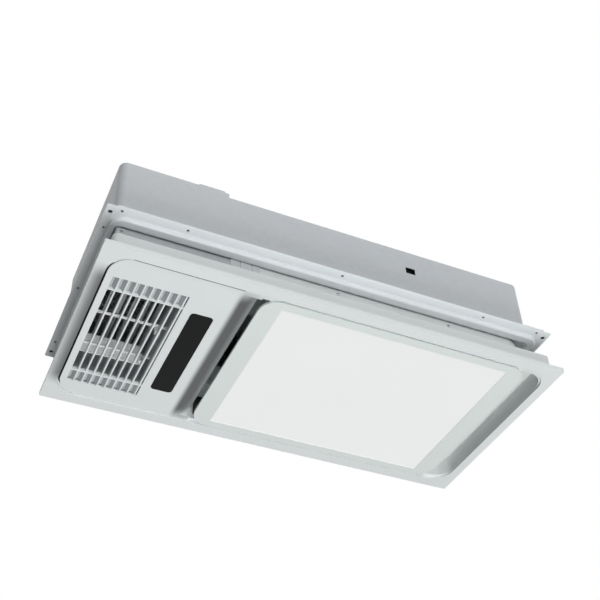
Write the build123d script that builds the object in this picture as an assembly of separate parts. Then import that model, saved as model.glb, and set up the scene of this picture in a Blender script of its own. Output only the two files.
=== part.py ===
from build123d import *
import os
from math import acos, cos, degrees, hypot, radians, sin, sqrt

# Ceiling-recessed bathroom heater with a radial fan, an exhaust branch and a flat light.
# Millimetres. Origin at the centre of the panel's face, +Z up into the ceiling,
# +X towards the light, -X towards the air outlet, +Y towards the exhaust collar.

# Clearances
seat_gap = 0.3
running_gap = 0.05
open_pivot_gap = 0.3
edge_gap = 0.4

# Face panel
panel_length = 600.0
panel_width = 300.0
panel_corner = 1.5
panel_edge = 5.5
rebate_depth = 3.5
border_left = 13.5
border_right = 12.5
border_near = 14.7
border_far = 17.1
border_roll_inset = 0.5
border_roll_rise = 7.0
border_roll_run_out = 2.0
recess_corner = 28.0
opening_inset = 23.0
opening_corner = 23.0
upstand_side_inset = 12.0
upstand_right_inset = 7.5
upstand_wall = 2.5
upstand_top = 32.0
upstand_corner = 6.0
upstand_round = 1.5
cove_radius = 4.0

# Grille plate
plate_thickness = 2.2
plate_left_groove = 2.7
plate_corner = 30.0
plate_strip_gap = 2.5
roll_start = -131.0
roll_radius = 31.0
roll_weld = 0.5
slat_pitch = 10.0
slat_count = 9
slat_width = 2.0
slat_depth = 6.0
slat_root = 0.5
first_slat_x = -266.5
last_slot = 1.7
grille_near = -99.0
grille_far = 105.0
crossbar_inset = 22.0
crossbar_depth = 4.0
scoop_wall = 1.0
scoop_radius = 4.0

# Display
window_length = 157.6
window_width = 28.3
window_x = -158.6
window_y = 4.4
window_corner = 5.0
window_gap = 0.2
window_lip = 2.0
window_lip_thickness = 1.2
display_stand_off = 4.0
board_thickness = 1.6
display_board_margin = 2.0
touch_key_count = 5
touch_key_pitch = 20.0
touch_key_radius = 4.0
digit_block = (16.0, 28.0)

# Sheet and moulded walls
sheet = 0.8
frame_sheet = 1.0
moulded_wall = 2.0

# Mounting frame
flange_left = 10.0
flange_right = 10.3
flange_side = 14.0
frame_height = 63.0
frame_corner = 4.0
bead_left = -292.0
bead_right = 286.2
bead_side_outer = 135.0
bead_left_width = 7.6
bead_right_width = 11.6
bead_side_width = 12.6
bead_depth = 6.0
bead_corner = 16.0
bead_inner_corner = 6.5
bead_edge_radius = 2.5
lip_width = 5.0
lip_right_width = 15.0
hole_row_inset = 7.5
hole_radius = 1.8
side_hole_x = (-283.5, -204.0, -4.5, 196.0, 277.0)
end_hole_inset = 6.2
end_hole_y = (-109.0, 3.0, 115.0)
corner_hole_y = 136.0
corner_hole_radius = 2.75
notch_length = 12.0
notch_depth = 2.0

# Housing
housing_left = -287.5
housing_right = 283.5
housing_half_width = 119.0
housing_top = 169.0
roof_step = 7.0
roof_step_x = -146.0
roof_step_round = 2.5
housing_corner = 10.0
housing_round = 2.5
wire_slot = (14.0, 10.5)
wire_slot_x = 110.5
wire_slot_z = 133.7
wire_hole_radius = 9.0

# Junction cover
cover_x = -167.5
cover_length = 38.0
cover_depth = 60.0
cover_height = 5.2
cover_corner = 4.0
cover_wall = 1.5
cover_round = 2.5
cover_setback = 2.5
cover_screw_reach = 21.0

# Air duct over the grille
duct_margin = 1.4
duct_skirt_bottom = 34.0
skirt_half_width = 120.5
skirt_left = -283.6
skirt_right = -138.0
skirt_corner = 3.0
motor_window_gap = 3.0
gasket_thickness = 2.0
gasket_width = 2.0

# Intake tray round the light
tray_shoulder = 30.0
tray_end = 272.0
tray_corner = 30.0
corner_foam_bottom = 10.0

# Panel latches
latch_width = 38.0
latch_x = -124.0
latch_end_y = 60.0
latch_bottom = 43.0
latch_slot = 2.0
latch_slot_reach = 7.6
latch_bridge = 4.0
hook_reach = 10.0
hook_thickness = 5.0

# Light
light_centre_x = 78.4
light_length = 361.8
light_groove = 0.5
light_face = 0.4
light_corner = 25.0
light_window_length = 310.0
light_border = 12.4
light_lip = 1.0
light_overlap = 1.3
light_skirt_gap = 3.5
light_skirt_end = 168.5
light_back = 24.0
diffuser_thickness = 2.0
back_plate_thickness = 1.0
led_strip_count = 4
led_strip_pitch = 56.0
led_strip_width = 12.0
led_strip_length = 290.0
led_strip_thickness = 1.6
led_count = 7
led_radius = 5.0
led_height = 4.0
hanger_thickness = 2.0
hanger_foot = 12.0
hanger_head = 14.0
hanger_inset = 8.1
hanger_right_inset = 9.9
hanger_shelf_z = 34.0
hanger_shelf_drop = 8.0
hanger_reach = 12.9
hanger_low_reach = 9.3
hanger_near_y = (-95.0, -62.0)
hanger_far_y = (49.0, 80.0)
hanger_low_end = 108.0
hanger_right_y = ((-94.0, -74.0), (67.0, 87.0))
driver_size = (120.0, 42.0, 22.0)
driver_x = 110.0

# Fan
fan_x = -30.0
fan_y = 32.0
impeller_radius = 70.0
blade_inner_radius = 59.5
blade_count = 44
blade_thickness = 1.0
blade_angle = 25.0
blade_root = 0.3
dish_weld = 1.0
impeller_ring = 2.0
impeller_bottom = 71.0
impeller_top = 129.0
dish_radius = 42.0
dish_floor = 93.0
hub_radius = 8.0
hub_bottom = 88.0
inlet_radius = 58.0
inlet_lip_height = 3.0
scroll_gap = 6.0
scroll_step = 13.0
tongue_angle = 145.0
fan_deck_thickness = 2.0
fan_roof = 134.0

# Motor
motor_radius = 33.0
motor_wall = 1.5
motor_bottom = 100.0
motor_top = 156.0
motor_flange_radius = 48.0
motor_hole_gap = 3.0
mount_height = 4.0
mount_radius = 5.0
mount_circle = 43.0
mount_count = 3
motor_screw_radius = 2.0
shaft_radius = 4.0
shaft_tail = 4.0
bearing_radius = 9.0
bearing_length = 7.0
bearing_wall = 3.0
stator_inner = 20.0
stator_bottom = 114.0
stator_top = 141.0
winding_height = 7.0
rotor_gap = 0.4
nut_radius = 7.0
nut_height = 4.0

# Changeover chamber and flap
hinge_x = -172.5
hinge_y = 110.0
flap_length = 89.0
flap_thickness = 3.0
flap_shaft_radius = 3.0
flap_end_gap = 2.0
flap_bush_wall = 2.0
flap_seal_inset = 2.0
flap_seal_start = 4.0
flap_seal_band = 3.0
chamber_x = -178.7
chamber_near_y = 14.0
chamber_far_y = 115.9
chamber_right_x = -82.0
chamber_top = 165.0
baffle_thickness = 1.0
window_end_margin = 10.0
window_side_margin = 9.0
changeover_motor_radius = 12.4
changeover_motor_height = 17.0
changeover_motor_offset = (7.0, -9.5)
changeover_motor_bore = 6.0

# Exhaust collar and damper
collar_x = -127.0
collar_z = 116.0
collar_radius = 49.0
collar_wall = 1.5
collar_length = 28.0
collar_flange = 2.0
collar_flange_half_width = 56.0
collar_flange_half_height = 49.5
exhaust_hole_radius = 38.0
collar_screw_radius = 1.8
collar_screw_inset = 6.0
damper_radius = 46.0
damper_thickness = 1.2
damper_shoulder_width = 66.0
damper_shoulder_drop = 14.0
damper_hinge_rise = 33.0
damper_hinge_setback = 8.4
damper_pin_radius = 1.5
damper_knuckle_radius = 3.2
damper_knuckle_length = 60.0
damper_seat = 2.0
damper_seat_width = 3.5

# Heater
heater_height = 28.0
heater_side_margin = 2.0
heater_bar_count = 6
heater_bar_width = 5.0
heater_bar_height = 20.0
fin_pitch = 8.0
fin_sheet = 0.5
fin_side_gap = 0.2
cutout_radius = 4.8
cutout_height = 5.0
terminal_size = (0.8, 6.0, 10.0)
terminal_count = 3
terminal_pitch = 24.0

# Guide vanes
vane_chord = 29.0
vane_thickness = 2.0
vane_shaft_radius = 2.0
vane_bush_radius = 4.0
vane_near_pivot = (-8.0, 26.0)
vane_far_pivot = (60.0, 30.0)
vane_near_tilt = -50.0
vane_left = -272.5
vane_right = -197.0
crank_length = 12.0
crank_angle = -100.0
crank_thickness = 3.0
crank_radius = 3.5
crank_web = 4.9
link_thickness = 2.0
link_width = 5.6
link_pin_radius = 1.5
vane_motor_radius = 13.0
vane_motor_length = 19.0
vane_motor_bore = 4.0

# Controls
control_x = (105.0, 262.0)
control_y = (-100.0, 30.0)
control_bottom = 126.0
control_post_inset = 10.0
control_board_height = 12.0
relay_size = (20.0, 16.0, 15.0)
relay_count = 4
relay_pitch = 28.0
relay_inset = (22.0, 14.0)
transformer_inset = 20.0
transformer_size = (34.0, 30.0, 20.0)
capacitor_size = (46.0, 20.0, 30.0)
capacitor_x = 120.0
capacitor_y = 72.0
capacitor_corner = 4.0
capacitor_ear = 10.0
capacitor_ear_thickness = 3.0
terminal_block_size = (46.0, 22.0, 18.0)
terminal_block_x = 240.0
terminal_block_y = 85.0
terminal_ways = 5
terminal_hole_radius = 2.2
terminal_hole_depth = 4.0
gland_y = 85.0
gland_z = 140.0
gland_radius = 8.6
gland_nut_radius = 12.0
gland_nut_length = 5.0
gland_dome_length = 6.0
gland_bore = 4.0

# Screw heads
screw_head_radius = 3.0
screw_head_height = 1.8
wall_screw_radius = 2.2
wall_screw_height = 1.0
wall_screw_z = 52.0
wall_screw_end = 6.5
wall_screw_x = (-1.0, 155.0)

# Levels and edges that follow from the values above
half_l = panel_length / 2
half_w = panel_width / 2
recess_left = -half_l + border_left
recess_right = half_l - border_right
recess_near = -half_w + border_near
recess_far = half_w - border_far
opening_y = half_w - opening_inset
plate_bottom = rebate_depth - plate_thickness
plate_back = rebate_depth
plate_left = recess_left + plate_left_groove
plate_y = (recess_near + edge_gap, recess_far - edge_gap)
light_left = light_centre_x - light_length / 2
light_half_width = recess_far - light_groove
light_window_width = 2 * (light_half_width - light_border)
plate_right = light_left - plate_strip_gap
roll_half = opening_y - seat_gap
upstand_left = recess_left - upstand_wall
upstand_right = half_l - upstand_right_inset
upstand_y = half_w - upstand_side_inset
slats_end = first_slat_x + (slat_count - 1) * slat_pitch
grille_left = first_slat_x - slat_pitch + slat_width / 2
grille_right = slats_end + slat_width / 2 + last_slot
duct_left = grille_left - duct_margin
duct_right = grille_right + duct_margin
duct_y = (grille_near - duct_margin, grille_far + duct_margin)
crossbar_y = (grille_near + crossbar_inset, grille_far - crossbar_inset)
frame_top = frame_height + frame_sheet
bead_bottom = frame_height - bead_depth
frame_left = bead_left - flange_left
frame_right = bead_right + flange_right
frame_half = bead_side_outer + flange_side
bead_side_inner = bead_side_outer - bead_side_width
shell_left = housing_left + sheet
shell_right = housing_right - sheet
shell_y = housing_half_width - sheet
roof_inside = housing_top - sheet
raised_top = housing_top + roof_step
raised_inside = raised_top - sheet
skirt_top = frame_height - gasket_thickness
deck_bottom = frame_top
deck_top = deck_bottom + fan_deck_thickness
baffle_x = chamber_x - moulded_wall
deck_left = baffle_x - baffle_thickness
fan_roof_top = fan_roof + moulded_wall
chamber_roof_top = chamber_top + moulded_wall
motor_flange_bottom = fan_roof_top + mount_height
tray_lower_end = upstand_right - upstand_wall - seat_gap
tray_lower_half = opening_y + moulded_wall
tray_lower_corner = opening_corner + moulded_wall
light_skirt_side = opening_y - light_skirt_gap
light_skirt_left = light_centre_x - light_skirt_end
light_skirt_right = light_centre_x + light_skirt_end
diffuser_top = light_face + light_lip + diffuser_thickness
back_plate_z = light_back - back_plate_thickness
collar_face = housing_half_width + collar_flange
collar_end = collar_face + collar_length
damper_hinge_y = collar_end - damper_hinge_setback
damper_hinge_z = collar_z + damper_hinge_rise
heater_x = (shell_left + seat_gap, deck_left - seat_gap)
heater_y = shell_y - heater_side_margin
heater_top = deck_bottom + heater_height
link_left = vane_right + crank_thickness + seat_gap
crank_offset = (crank_length * cos(radians(crank_angle)), crank_length * sin(radians(crank_angle)))


def block(x, y, z):
    """A box from its low and high sides along X, Y and Z."""
    return Pos((x[0] + x[1]) / 2, (y[0] + y[1]) / 2, (z[0] + z[1]) / 2) * Box(
        x[1] - x[0], y[1] - y[0], z[1] - z[0]
    )


def slab(x, y, z, radius):
    """A box with rounded upright corners."""
    outline = RectangleRounded(x[1] - x[0], y[1] - y[0], radius)
    return extrude(Pos((x[0] + x[1]) / 2, (y[0] + y[1]) / 2, z[0]) * outline, amount=z[1] - z[0])


def mid_slab(half_x, half_y, z, radius):
    """A rounded box centred on the Z axis."""
    return slab((-half_x, half_x), (-half_y, half_y), z, radius)


def upright(x, y, z, radius):
    """A vertical cylinder from z[0] to z[1]."""
    return Pos(x, y, z[0]) * Cylinder(radius, z[1] - z[0], align=(Align.CENTER, Align.CENTER, Align.MIN))


def along_x(x, y, z, radius):
    """A cylinder along X from x[0] to x[1]."""
    turned = Rot(0, 90, 0) * Cylinder(radius, x[1] - x[0], align=(Align.CENTER, Align.CENTER, Align.MIN))
    return Pos(x[0], y, z) * turned


def along_y(x, y, z, radius):
    """A cylinder along Y from y[0] to y[1]."""
    turned = Rot(-90, 0, 0) * Cylinder(radius, y[1] - y[0], align=(Align.CENTER, Align.CENTER, Align.MIN))
    return Pos(x, y[0], z) * turned


def joined(shapes):
    """Several touching shapes as one solid."""
    shapes = list(shapes)
    return shapes[0].fuse(*shapes[1:]) if len(shapes) > 1 else shapes[0]


def group(shapes):
    """Separate solids that share one node."""
    return Compound(children=[Part() + shape for shape in shapes])


def edges_at(shape, z, x, half_y):
    """The edges at one level that lie on a rounded rectangle's outline."""
    centre, half_x = (x[0] + x[1]) / 2, (x[1] - x[0]) / 2

    def on_outline(edge):
        middle = edge.position_at(0.5)
        beyond = max(abs(middle.X - centre) - half_x, abs(middle.Y) - half_y)
        return abs(middle.Z - z) < 0.01 and -0.3 * upstand_corner < beyond < 0.01

    return [edge for edge in shape.edges() if on_outline(edge)]


def level_edges(shape, z):
    """All edges whose middle lies at one level."""
    return [edge for edge in shape.edges() if abs(edge.position_at(0.5).Z - z) < 0.01]


# Face panel


def panel_frame():
    """Border with a rebate for the plates, ledges on its long sides and an upstand behind."""
    border = mid_slab(half_l, half_w, (0, panel_edge), panel_corner)
    level = (panel_edge, upstand_top)
    outer_x = (upstand_left, upstand_right)
    frame = border + slab(outer_x, (-upstand_y, upstand_y), level, upstand_corner)
    inner_y = upstand_y - upstand_wall
    frame -= slab(
        (recess_left, upstand_right - upstand_wall), (-inner_y, inner_y), level, upstand_corner - upstand_wall
    )
    recess_x = (recess_left, recess_right)
    frame -= slab(recess_x, (recess_near, recess_far), (0, rebate_depth), recess_corner)
    frame -= slab(recess_x, (-opening_y, opening_y), (rebate_depth, panel_edge), opening_corner)
    frame = fillet(edges_at(frame, panel_edge, outer_x, upstand_y), cove_radius)
    frame = fillet(edges_at(frame, upstand_top, outer_x, upstand_y), upstand_round)
    return frame - border_roll()


def roll_profile(start, end):
    """Section of the soft roll between its flat start and its high end, as a face to cut."""
    width = abs(end - start)
    radius = (width ** 2 + border_roll_rise ** 2) / (2 * border_roll_rise)
    halfway = radius - sqrt(radius ** 2 - width ** 2 / 4)
    arc = ThreePointArc((start, 0), ((start + end) / 2, halfway), (end, border_roll_rise))
    rest = Polyline((end, border_roll_rise), (end, -1), (start, -1), (start, 0))
    return make_face(arc.edges() + rest.edges())


def border_roll():
    """The roll along the left border and round its corners, which runs out to the flat border."""
    start = -half_l + border_roll_inset
    centre_x = recess_left + recess_corner
    near, far = recess_near + recess_corner, recess_far - recess_corner
    straight = Plane.XZ * roll_profile(start, recess_left)
    cut = Pos(0, near, 0) * extrude(straight, amount=-(far - near))
    bend = revolve(Plane.XZ * roll_profile(centre_x - start, recess_corner), Axis.Z)
    for y in (near, far):
        outside = (-half_w, near) if y == near else (far, half_w)
        cut = cut + (Pos(centre_x, y, 0) * bend & block((-half_l, centre_x), outside, (-1, upstand_top)))
    top = border_roll_rise + 1
    run_out = Polygon(
        (recess_near + border_roll_run_out, -1), (recess_near + border_roll_run_out, 0), (near, top),
        (far, top), (recess_far - border_roll_run_out, 0), (recess_far - border_roll_run_out, -1), align=None,
    )
    return cut & (Pos(-half_l, 0, 0) * extrude(Plane.YZ * run_out, amount=recess_corner + border_left))


def grille_opening(z):
    """The slotted field of the grille, as a block to cut."""
    return block((grille_left, grille_right), (grille_near, grille_far), z)


def slat_edges():
    """Left and right sides of each slot between the slats, the narrow last one left out."""
    sides = [grille_left]
    for index in range(slat_count):
        middle = first_slat_x + index * slat_pitch
        sides += [middle - slat_width / 2, middle + slat_width / 2]
    return list(zip(sides[0:-1:2], sides[1:-1:2]))


def grille_scoop(low_x, high_x, low_y, high_y):
    """A hollowed back that closes one slot outside the crossbars."""
    top = plate_bottom + slat_depth
    deep = top - scoop_wall
    bend = high_x - scoop_radius
    diagonal = scoop_radius * sin(radians(45))
    arc = ThreePointArc(
        (bend, deep), (bend + diagonal, deep - scoop_radius + diagonal), (high_x, deep - scoop_radius)
    )
    rest = Polyline((high_x, deep - scoop_radius), (high_x, top), (low_x, top), (low_x, deep), (bend, deep))
    profile = make_face(arc.edges() + rest.edges())
    return Pos(0, low_y, 0) * extrude(Plane.XZ * profile, amount=-(high_y - low_y))


def grille_plate():
    """Plate with slats, crossbars, blind slot ends and the edge that rolls up beside the light."""
    level = (plate_bottom, plate_back)
    plate = slab((plate_left, plate_right + plate_corner), plate_y, level, plate_corner)
    plate -= block((plate_right, half_l), (-half_w, half_w), level)
    plate -= block((roll_start, plate_right), (-roll_half, roll_half), level)
    plate = plate + plate_roll() - grille_opening(level)
    x = (window_x - window_width / 2 - window_gap, window_x + window_width / 2 + window_gap)
    y = (window_y - window_length / 2 - window_gap, window_y + window_length / 2 + window_gap)
    plate -= slab(x, y, level, window_corner)
    return joined([plate] + slats() + crossbars() + scoops())


def plate_roll():
    """The quarter roll at the plate's right, narrower above the tray's shoulder."""
    axis_z = plate_bottom + roll_radius
    roll = along_y(roll_start, (-roll_half, roll_half), axis_z, roll_radius)
    roll -= along_y(roll_start, (-roll_half, roll_half), axis_z, roll_radius - plate_thickness)
    roll &= block((roll_start - roll_weld, roll_start + roll_radius), (-roll_half, roll_half), (0, axis_z))
    upper = skirt_half_width - moulded_wall - seat_gap
    keep = block((-half_l, half_l), (-half_w, half_w), (0, tray_shoulder - moulded_wall - seat_gap))
    return roll & (keep + block((-half_l, half_l), (-upper, upper), (0, frame_height)))


def slats():
    """The slats across the outlet."""
    y = (grille_near - slat_root, grille_far + slat_root)
    middles = [first_slat_x + index * slat_pitch for index in range(slat_count)]
    return [
        block((x - slat_width / 2, x + slat_width / 2), y, (plate_bottom, plate_bottom + slat_depth))
        for x in middles
    ]


def crossbars():
    """The two bars across the slats."""
    x = (grille_left - slat_root, grille_right + slat_root)
    return [
        block(x, (y - slat_width / 2, y + slat_width / 2), (plate_bottom, plate_bottom + crossbar_depth))
        for y in crossbar_y
    ]


def scoops():
    """The blind ends of the slots, outside the crossbars."""
    ends = ((grille_near, crossbar_y[0]), (crossbar_y[1], grille_far))
    return [grille_scoop(*x, *y) for x in slat_edges() for y in ends]


# Display


def display_window():
    """Dark window with a lip that lies on the back of the plate."""
    x = (window_x - window_width / 2, window_x + window_width / 2)
    y = (window_y - window_length / 2, window_y + window_length / 2)
    pane = slab(x, y, (plate_bottom, plate_back), window_corner)
    lip = slab(
        (x[0] - window_lip, x[1] + window_lip), (y[0] - window_lip, y[1] + window_lip),
        (plate_back, plate_back + window_lip_thickness), window_corner + window_lip,
    )
    return pane + lip


def display_levels():
    """Lower and upper side of the display board."""
    bottom = plate_back + window_lip_thickness + display_stand_off
    return bottom, bottom + board_thickness


def display_board():
    """Circuit board behind the window."""
    half_x = window_width / 2 - display_board_margin
    half_y = window_length / 2 - display_board_margin
    return block(
        (window_x - half_x, window_x + half_x), (window_y - half_y, window_y + half_y), display_levels()
    )


def touch_keys():
    """Touch key posts between the board and the window."""
    first = window_y - (touch_key_count - 1) * touch_key_pitch / 2 - digit_block[1] / 2
    level = (plate_back + window_lip_thickness, display_levels()[0])
    return group(
        upright(window_x, first + index * touch_key_pitch, level, touch_key_radius)
        for index in range(touch_key_count)
    )


def digit_display():
    """Numeral display block between the board and the window."""
    far = window_y + window_length / 2 - 2 * display_board_margin
    return block(
        (window_x - digit_block[0] / 2, window_x + digit_block[0] / 2), (far - digit_block[1], far),
        (plate_back + window_lip_thickness, display_levels()[0]),
    )


# Duct and tray behind the panel


def changeover_motor_place():
    """X and Y of the changeover motor under the fan deck."""
    return hinge_x + changeover_motor_offset[0], hinge_y + changeover_motor_offset[1]


def outlet_duct():
    """Square duct from the heater down to the grille, with an outer skirt."""
    wall = moulded_wall
    level = (plate_back, deck_bottom)
    outer = block((duct_left - wall, duct_right + wall), (duct_y[0] - wall, duct_y[1] + wall), level)
    skirt = duct_skirt_outline(0, (duct_skirt_bottom, skirt_top))
    skirt -= duct_skirt_outline(wall, (duct_skirt_bottom, skirt_top - wall))
    duct = outer + skirt - block((duct_left, duct_right), duct_y, level)
    motor_x, motor_y = changeover_motor_place()
    reach = changeover_motor_radius + motor_window_gap
    duct -= block(
        (motor_x - reach, motor_x + reach), (motor_y - reach, motor_y + reach),
        (skirt_top - wall, skirt_top),
    )
    hole_x = (duct_left - 2 * wall, duct_right + 2 * wall)
    for y, z in (vane_near_pivot, vane_far_pivot):
        duct -= along_x(hole_x, y, z, vane_bush_radius + running_gap)
    return duct


def duct_skirt_outline(inset, level):
    """Plan of the duct's skirt, round at the left, pulled up between two levels."""
    half = skirt_half_width - inset
    outline = slab(
        (skirt_left + inset, skirt_right + 2 * skirt_corner), (-half, half), level, skirt_corner - inset
    )
    return outline & block((-half_l, skirt_right - inset), (-half_w, half_w), level)


def tray_ring(half_y, end, level, radius):
    """U-shaped wall open towards the outlet duct."""
    far_left = skirt_right - 2 * radius
    ring = slab((far_left, end), (-half_y, half_y), level, radius)
    ring -= slab(
        (far_left, end - moulded_wall), (-half_y + moulded_wall, half_y - moulded_wall),
        level, radius - moulded_wall,
    )
    return ring - block((far_left - 1, skirt_right + seat_gap), (-half_y - 1, half_y + 1), level)


def intake_tray():
    """Wall round the light that guides the room air up to the fan."""
    lower = tray_ring(tray_lower_half, tray_lower_end, (panel_edge, tray_shoulder), tray_lower_corner)
    upper = tray_ring(skirt_half_width, tray_end, (tray_shoulder, skirt_top), tray_corner)
    shoulder_level = (tray_shoulder - moulded_wall, tray_shoulder)
    shoulder = slab(
        (skirt_right - 2 * tray_corner, tray_lower_end), (-tray_lower_half, tray_lower_half),
        shoulder_level, tray_lower_corner,
    )
    inner_y = skirt_half_width - moulded_wall
    shoulder -= slab(
        (skirt_right - 2 * tray_corner, tray_end - moulded_wall), (-inner_y, inner_y),
        shoulder_level, tray_corner - moulded_wall,
    )
    shoulder -= block((-half_l, skirt_right + seat_gap), (-half_w, half_w), shoulder_level)
    return joined([lower, upper, shoulder])


def gasket_outline(inset):
    """Plan of the gasket's outer or inner side."""
    level = (skirt_top, frame_height)
    half = skirt_half_width - inset
    left = slab((skirt_left + inset, 0), (-half, half), level, skirt_corner - inset)
    right = slab((skirt_right, tray_end - inset), (-half, half), level, tray_corner - inset)
    return left + right + block((skirt_right, 0), (-half, half), level)


def duct_gasket():
    """Foam strip on the duct and tray tops, and a foam block in the tray's far left corner."""
    strip = gasket_outline(0) - gasket_outline(gasket_width)
    block_x = (light_skirt_left - hanger_low_reach, light_skirt_left - seat_gap)
    block_z = (corner_foam_bottom, tray_shoulder - moulded_wall - seat_gap)
    return group([strip, block(block_x, (hanger_low_end + seat_gap, opening_y), block_z)])


def panel_latches():
    """Two spring latches beside the frame's bead and two hooks under its right end."""
    top = frame_height - seat_gap
    slot_z = (latch_bottom + latch_bridge, top)
    shapes = []
    for side in (-1, 1):
        y = tuple(sorted((side * skirt_half_width, side * (bead_side_inner - seat_gap))))
        latch = block((latch_x - latch_width / 2, latch_x + latch_width / 2), y, (latch_bottom, top))
        for slot_x in (latch_x - latch_slot_reach, latch_x + latch_slot_reach):
            latch -= block((slot_x - latch_slot / 2, slot_x + latch_slot / 2), y, slot_z)
        shapes.append(latch)
        hook_y = (side * latch_end_y - latch_width / 2, side * latch_end_y + latch_width / 2)
        hook_top = bead_bottom - seat_gap
        hook = block((tray_end, tray_end + hook_reach), hook_y, (hook_top - hook_thickness, hook_top))
        shapes.append(hook)
    return group(shapes)


# Light


def light_span(half):
    """Low and high X of something centred on the light."""
    return (light_centre_x - half, light_centre_x + half)


def light_frame():
    """Frame whose long sides lie on the ledge, with a skirt behind."""
    frame = slab(
        light_span(light_length / 2), (-light_half_width, light_half_width),
        (light_face, plate_back), light_corner,
    )
    skirt = slab(
        light_span(light_skirt_end), (-light_skirt_side, light_skirt_side), (plate_back, light_back),
        upstand_corner,
    )
    frame = frame + skirt
    frame -= light_layer((0, light_back), light_window_length / 2, light_window_width / 2)
    frame -= light_layer(
        (light_face + light_lip, light_back),
        light_window_length / 2 + light_overlap, light_window_width / 2 + light_overlap,
    )
    return frame - light_layer(
        (diffuser_top, light_back), light_skirt_end - moulded_wall, light_window_width / 2 + light_overlap
    )


def light_layer(level, half_x, half_y):
    """One flat layer of the light, centred on it."""
    return block(light_span(half_x), (-half_y, half_y), level)


def light_diffuser():
    """Opal diffuser that lies on the frame's lip."""
    gap = seat_gap / 2
    return light_layer(
        (light_face + light_lip, diffuser_top),
        light_window_length / 2 + light_overlap - gap, light_window_width / 2 + light_overlap - gap,
    )


def led_strip_rows():
    """Y of each strip of diodes."""
    first = -led_strip_pitch * (led_strip_count - 1) / 2
    return [first + index * led_strip_pitch for index in range(led_strip_count)]


def led_strips():
    """Strips of circuit board under the light's back plate."""
    level = (back_plate_z - led_strip_thickness, back_plate_z)
    return group(
        block(light_span(led_strip_length / 2), (y - led_strip_width / 2, y + led_strip_width / 2), level)
        for y in led_strip_rows()
    )


def led_lenses():
    """Domed lenses of the diodes on the strips."""
    top = back_plate_z - led_strip_thickness
    pitch = led_strip_length / led_count
    ball = led_radius ** 2 / (2 * led_height) + led_height / 2
    shapes = []
    for y in led_strip_rows():
        for index in range(led_count):
            x = light_centre_x + (index - (led_count - 1) / 2) * pitch
            dome = Pos(x, y, top + ball - led_height) * Sphere(ball)
            shapes.append(dome & upright(x, y, (top - led_height - 1, top), led_radius + 1))
    return group(shapes)


def light_back_plate():
    """Sheet that closes the light's back."""
    gap = seat_gap / 2
    return light_layer(
        (back_plate_z, back_plate_z + back_plate_thickness),
        light_skirt_end - moulded_wall - gap, light_window_width / 2 + light_overlap - gap,
    )


def light_hangers():
    """Four sheet brackets on the light's back that hang it from the fan deck."""
    far = joined([left_hanger(hanger_far_y), low_shelf()])
    return group([left_hanger(hanger_near_y), far] + [right_hanger(y) for y in hanger_right_y])


def right_hanger(y):
    """One straight bracket: foot, riser and head."""
    x = (light_skirt_right - hanger_right_inset - hanger_thickness, light_skirt_right - hanger_right_inset)
    end = x[1] - hanger_foot
    return joined([
        block(x, y, (light_back, deck_bottom)),
        block((end, x[1]), y, (light_back, light_back + hanger_thickness)),
        block((end, x[1]), y, (deck_bottom - hanger_thickness, deck_bottom)),
    ])


def left_hanger(y):
    """One stepped bracket: foot, leg, shelf, riser and head."""
    thick = hanger_thickness
    leg = light_skirt_left + hanger_inset
    outer = light_skirt_left - hanger_reach
    shelf_top = hanger_shelf_z + thick
    return joined([
        block((leg, leg + hanger_foot), y, (light_back, light_back + thick)),
        block((leg, leg + thick), y, (light_back, shelf_top)),
        block((outer, leg + thick), y, (hanger_shelf_z, shelf_top)),
        block((outer, outer + thick), y, (hanger_shelf_z, deck_bottom)),
        block((outer, outer + hanger_head), y, (deck_bottom - thick, deck_bottom)),
    ])


def low_shelf():
    """The far bracket's lower shelf, its leg and the step up to the main shelf."""
    thick = hanger_thickness
    leg = light_skirt_left + hanger_inset
    x = (light_skirt_left - hanger_low_reach, leg + thick)
    low = hanger_shelf_z - hanger_shelf_drop
    y = (hanger_far_y[1] - thick, hanger_low_end)
    return joined([
        block(x, y, (low, low + thick)),
        block((leg, leg + thick), y, (light_back, low + thick)),
        block(x, (hanger_far_y[1] - thick, hanger_far_y[1]), (low, hanger_shelf_z + thick)),
    ])


def led_driver():
    """Driver box on the light's back plate."""
    length, width, height = driver_size
    bottom = back_plate_z + back_plate_thickness
    return slab(
        (driver_x - length / 2, driver_x + length / 2), (-width / 2, width / 2),
        (bottom, bottom + height), cover_corner,
    )


# Mounting frame and housing


def mounting_frame():
    """Stamped flange with a hollow bead, screw holes and notched corners."""
    frame = slab(
        (frame_left, frame_right), (-frame_half, frame_half), (frame_height, frame_top), frame_corner
    )
    bead = bead_ring(0, (bead_bottom, frame_top))
    frame = frame + fillet(level_edges(bead, bead_bottom), bead_edge_radius)
    channel_bottom = bead_bottom + frame_sheet
    channel = bead_ring(frame_sheet, (channel_bottom, frame_height))
    frame -= fillet(level_edges(channel, channel_bottom), bead_edge_radius - frame_sheet)
    seat_y = housing_half_width + seat_gap
    frame -= bead_ring(frame_sheet, (frame_height, frame_top)) - slab(
        (housing_left - seat_gap, housing_right + seat_gap), (-seat_y, seat_y),
        (frame_height, frame_top), housing_corner + seat_gap,
    )
    lip_y = shell_y - lip_width
    frame -= slab(
        (shell_left + lip_width, shell_right - lip_right_width), (-lip_y, lip_y),
        (frame_height, frame_top), housing_corner,
    )
    level = (frame_height - 1, frame_top + 1)
    for x, y, radius in frame_holes():
        frame -= upright(x, y, level, radius)
    for x in ((frame_left - 1, frame_left + notch_length), (frame_right - notch_length, frame_right + 1)):
        frame -= block(x, (-frame_half - 1, -frame_half + notch_depth), level)
        frame -= block(x, (frame_half - notch_depth, frame_half + 1), level)
    return frame


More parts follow.
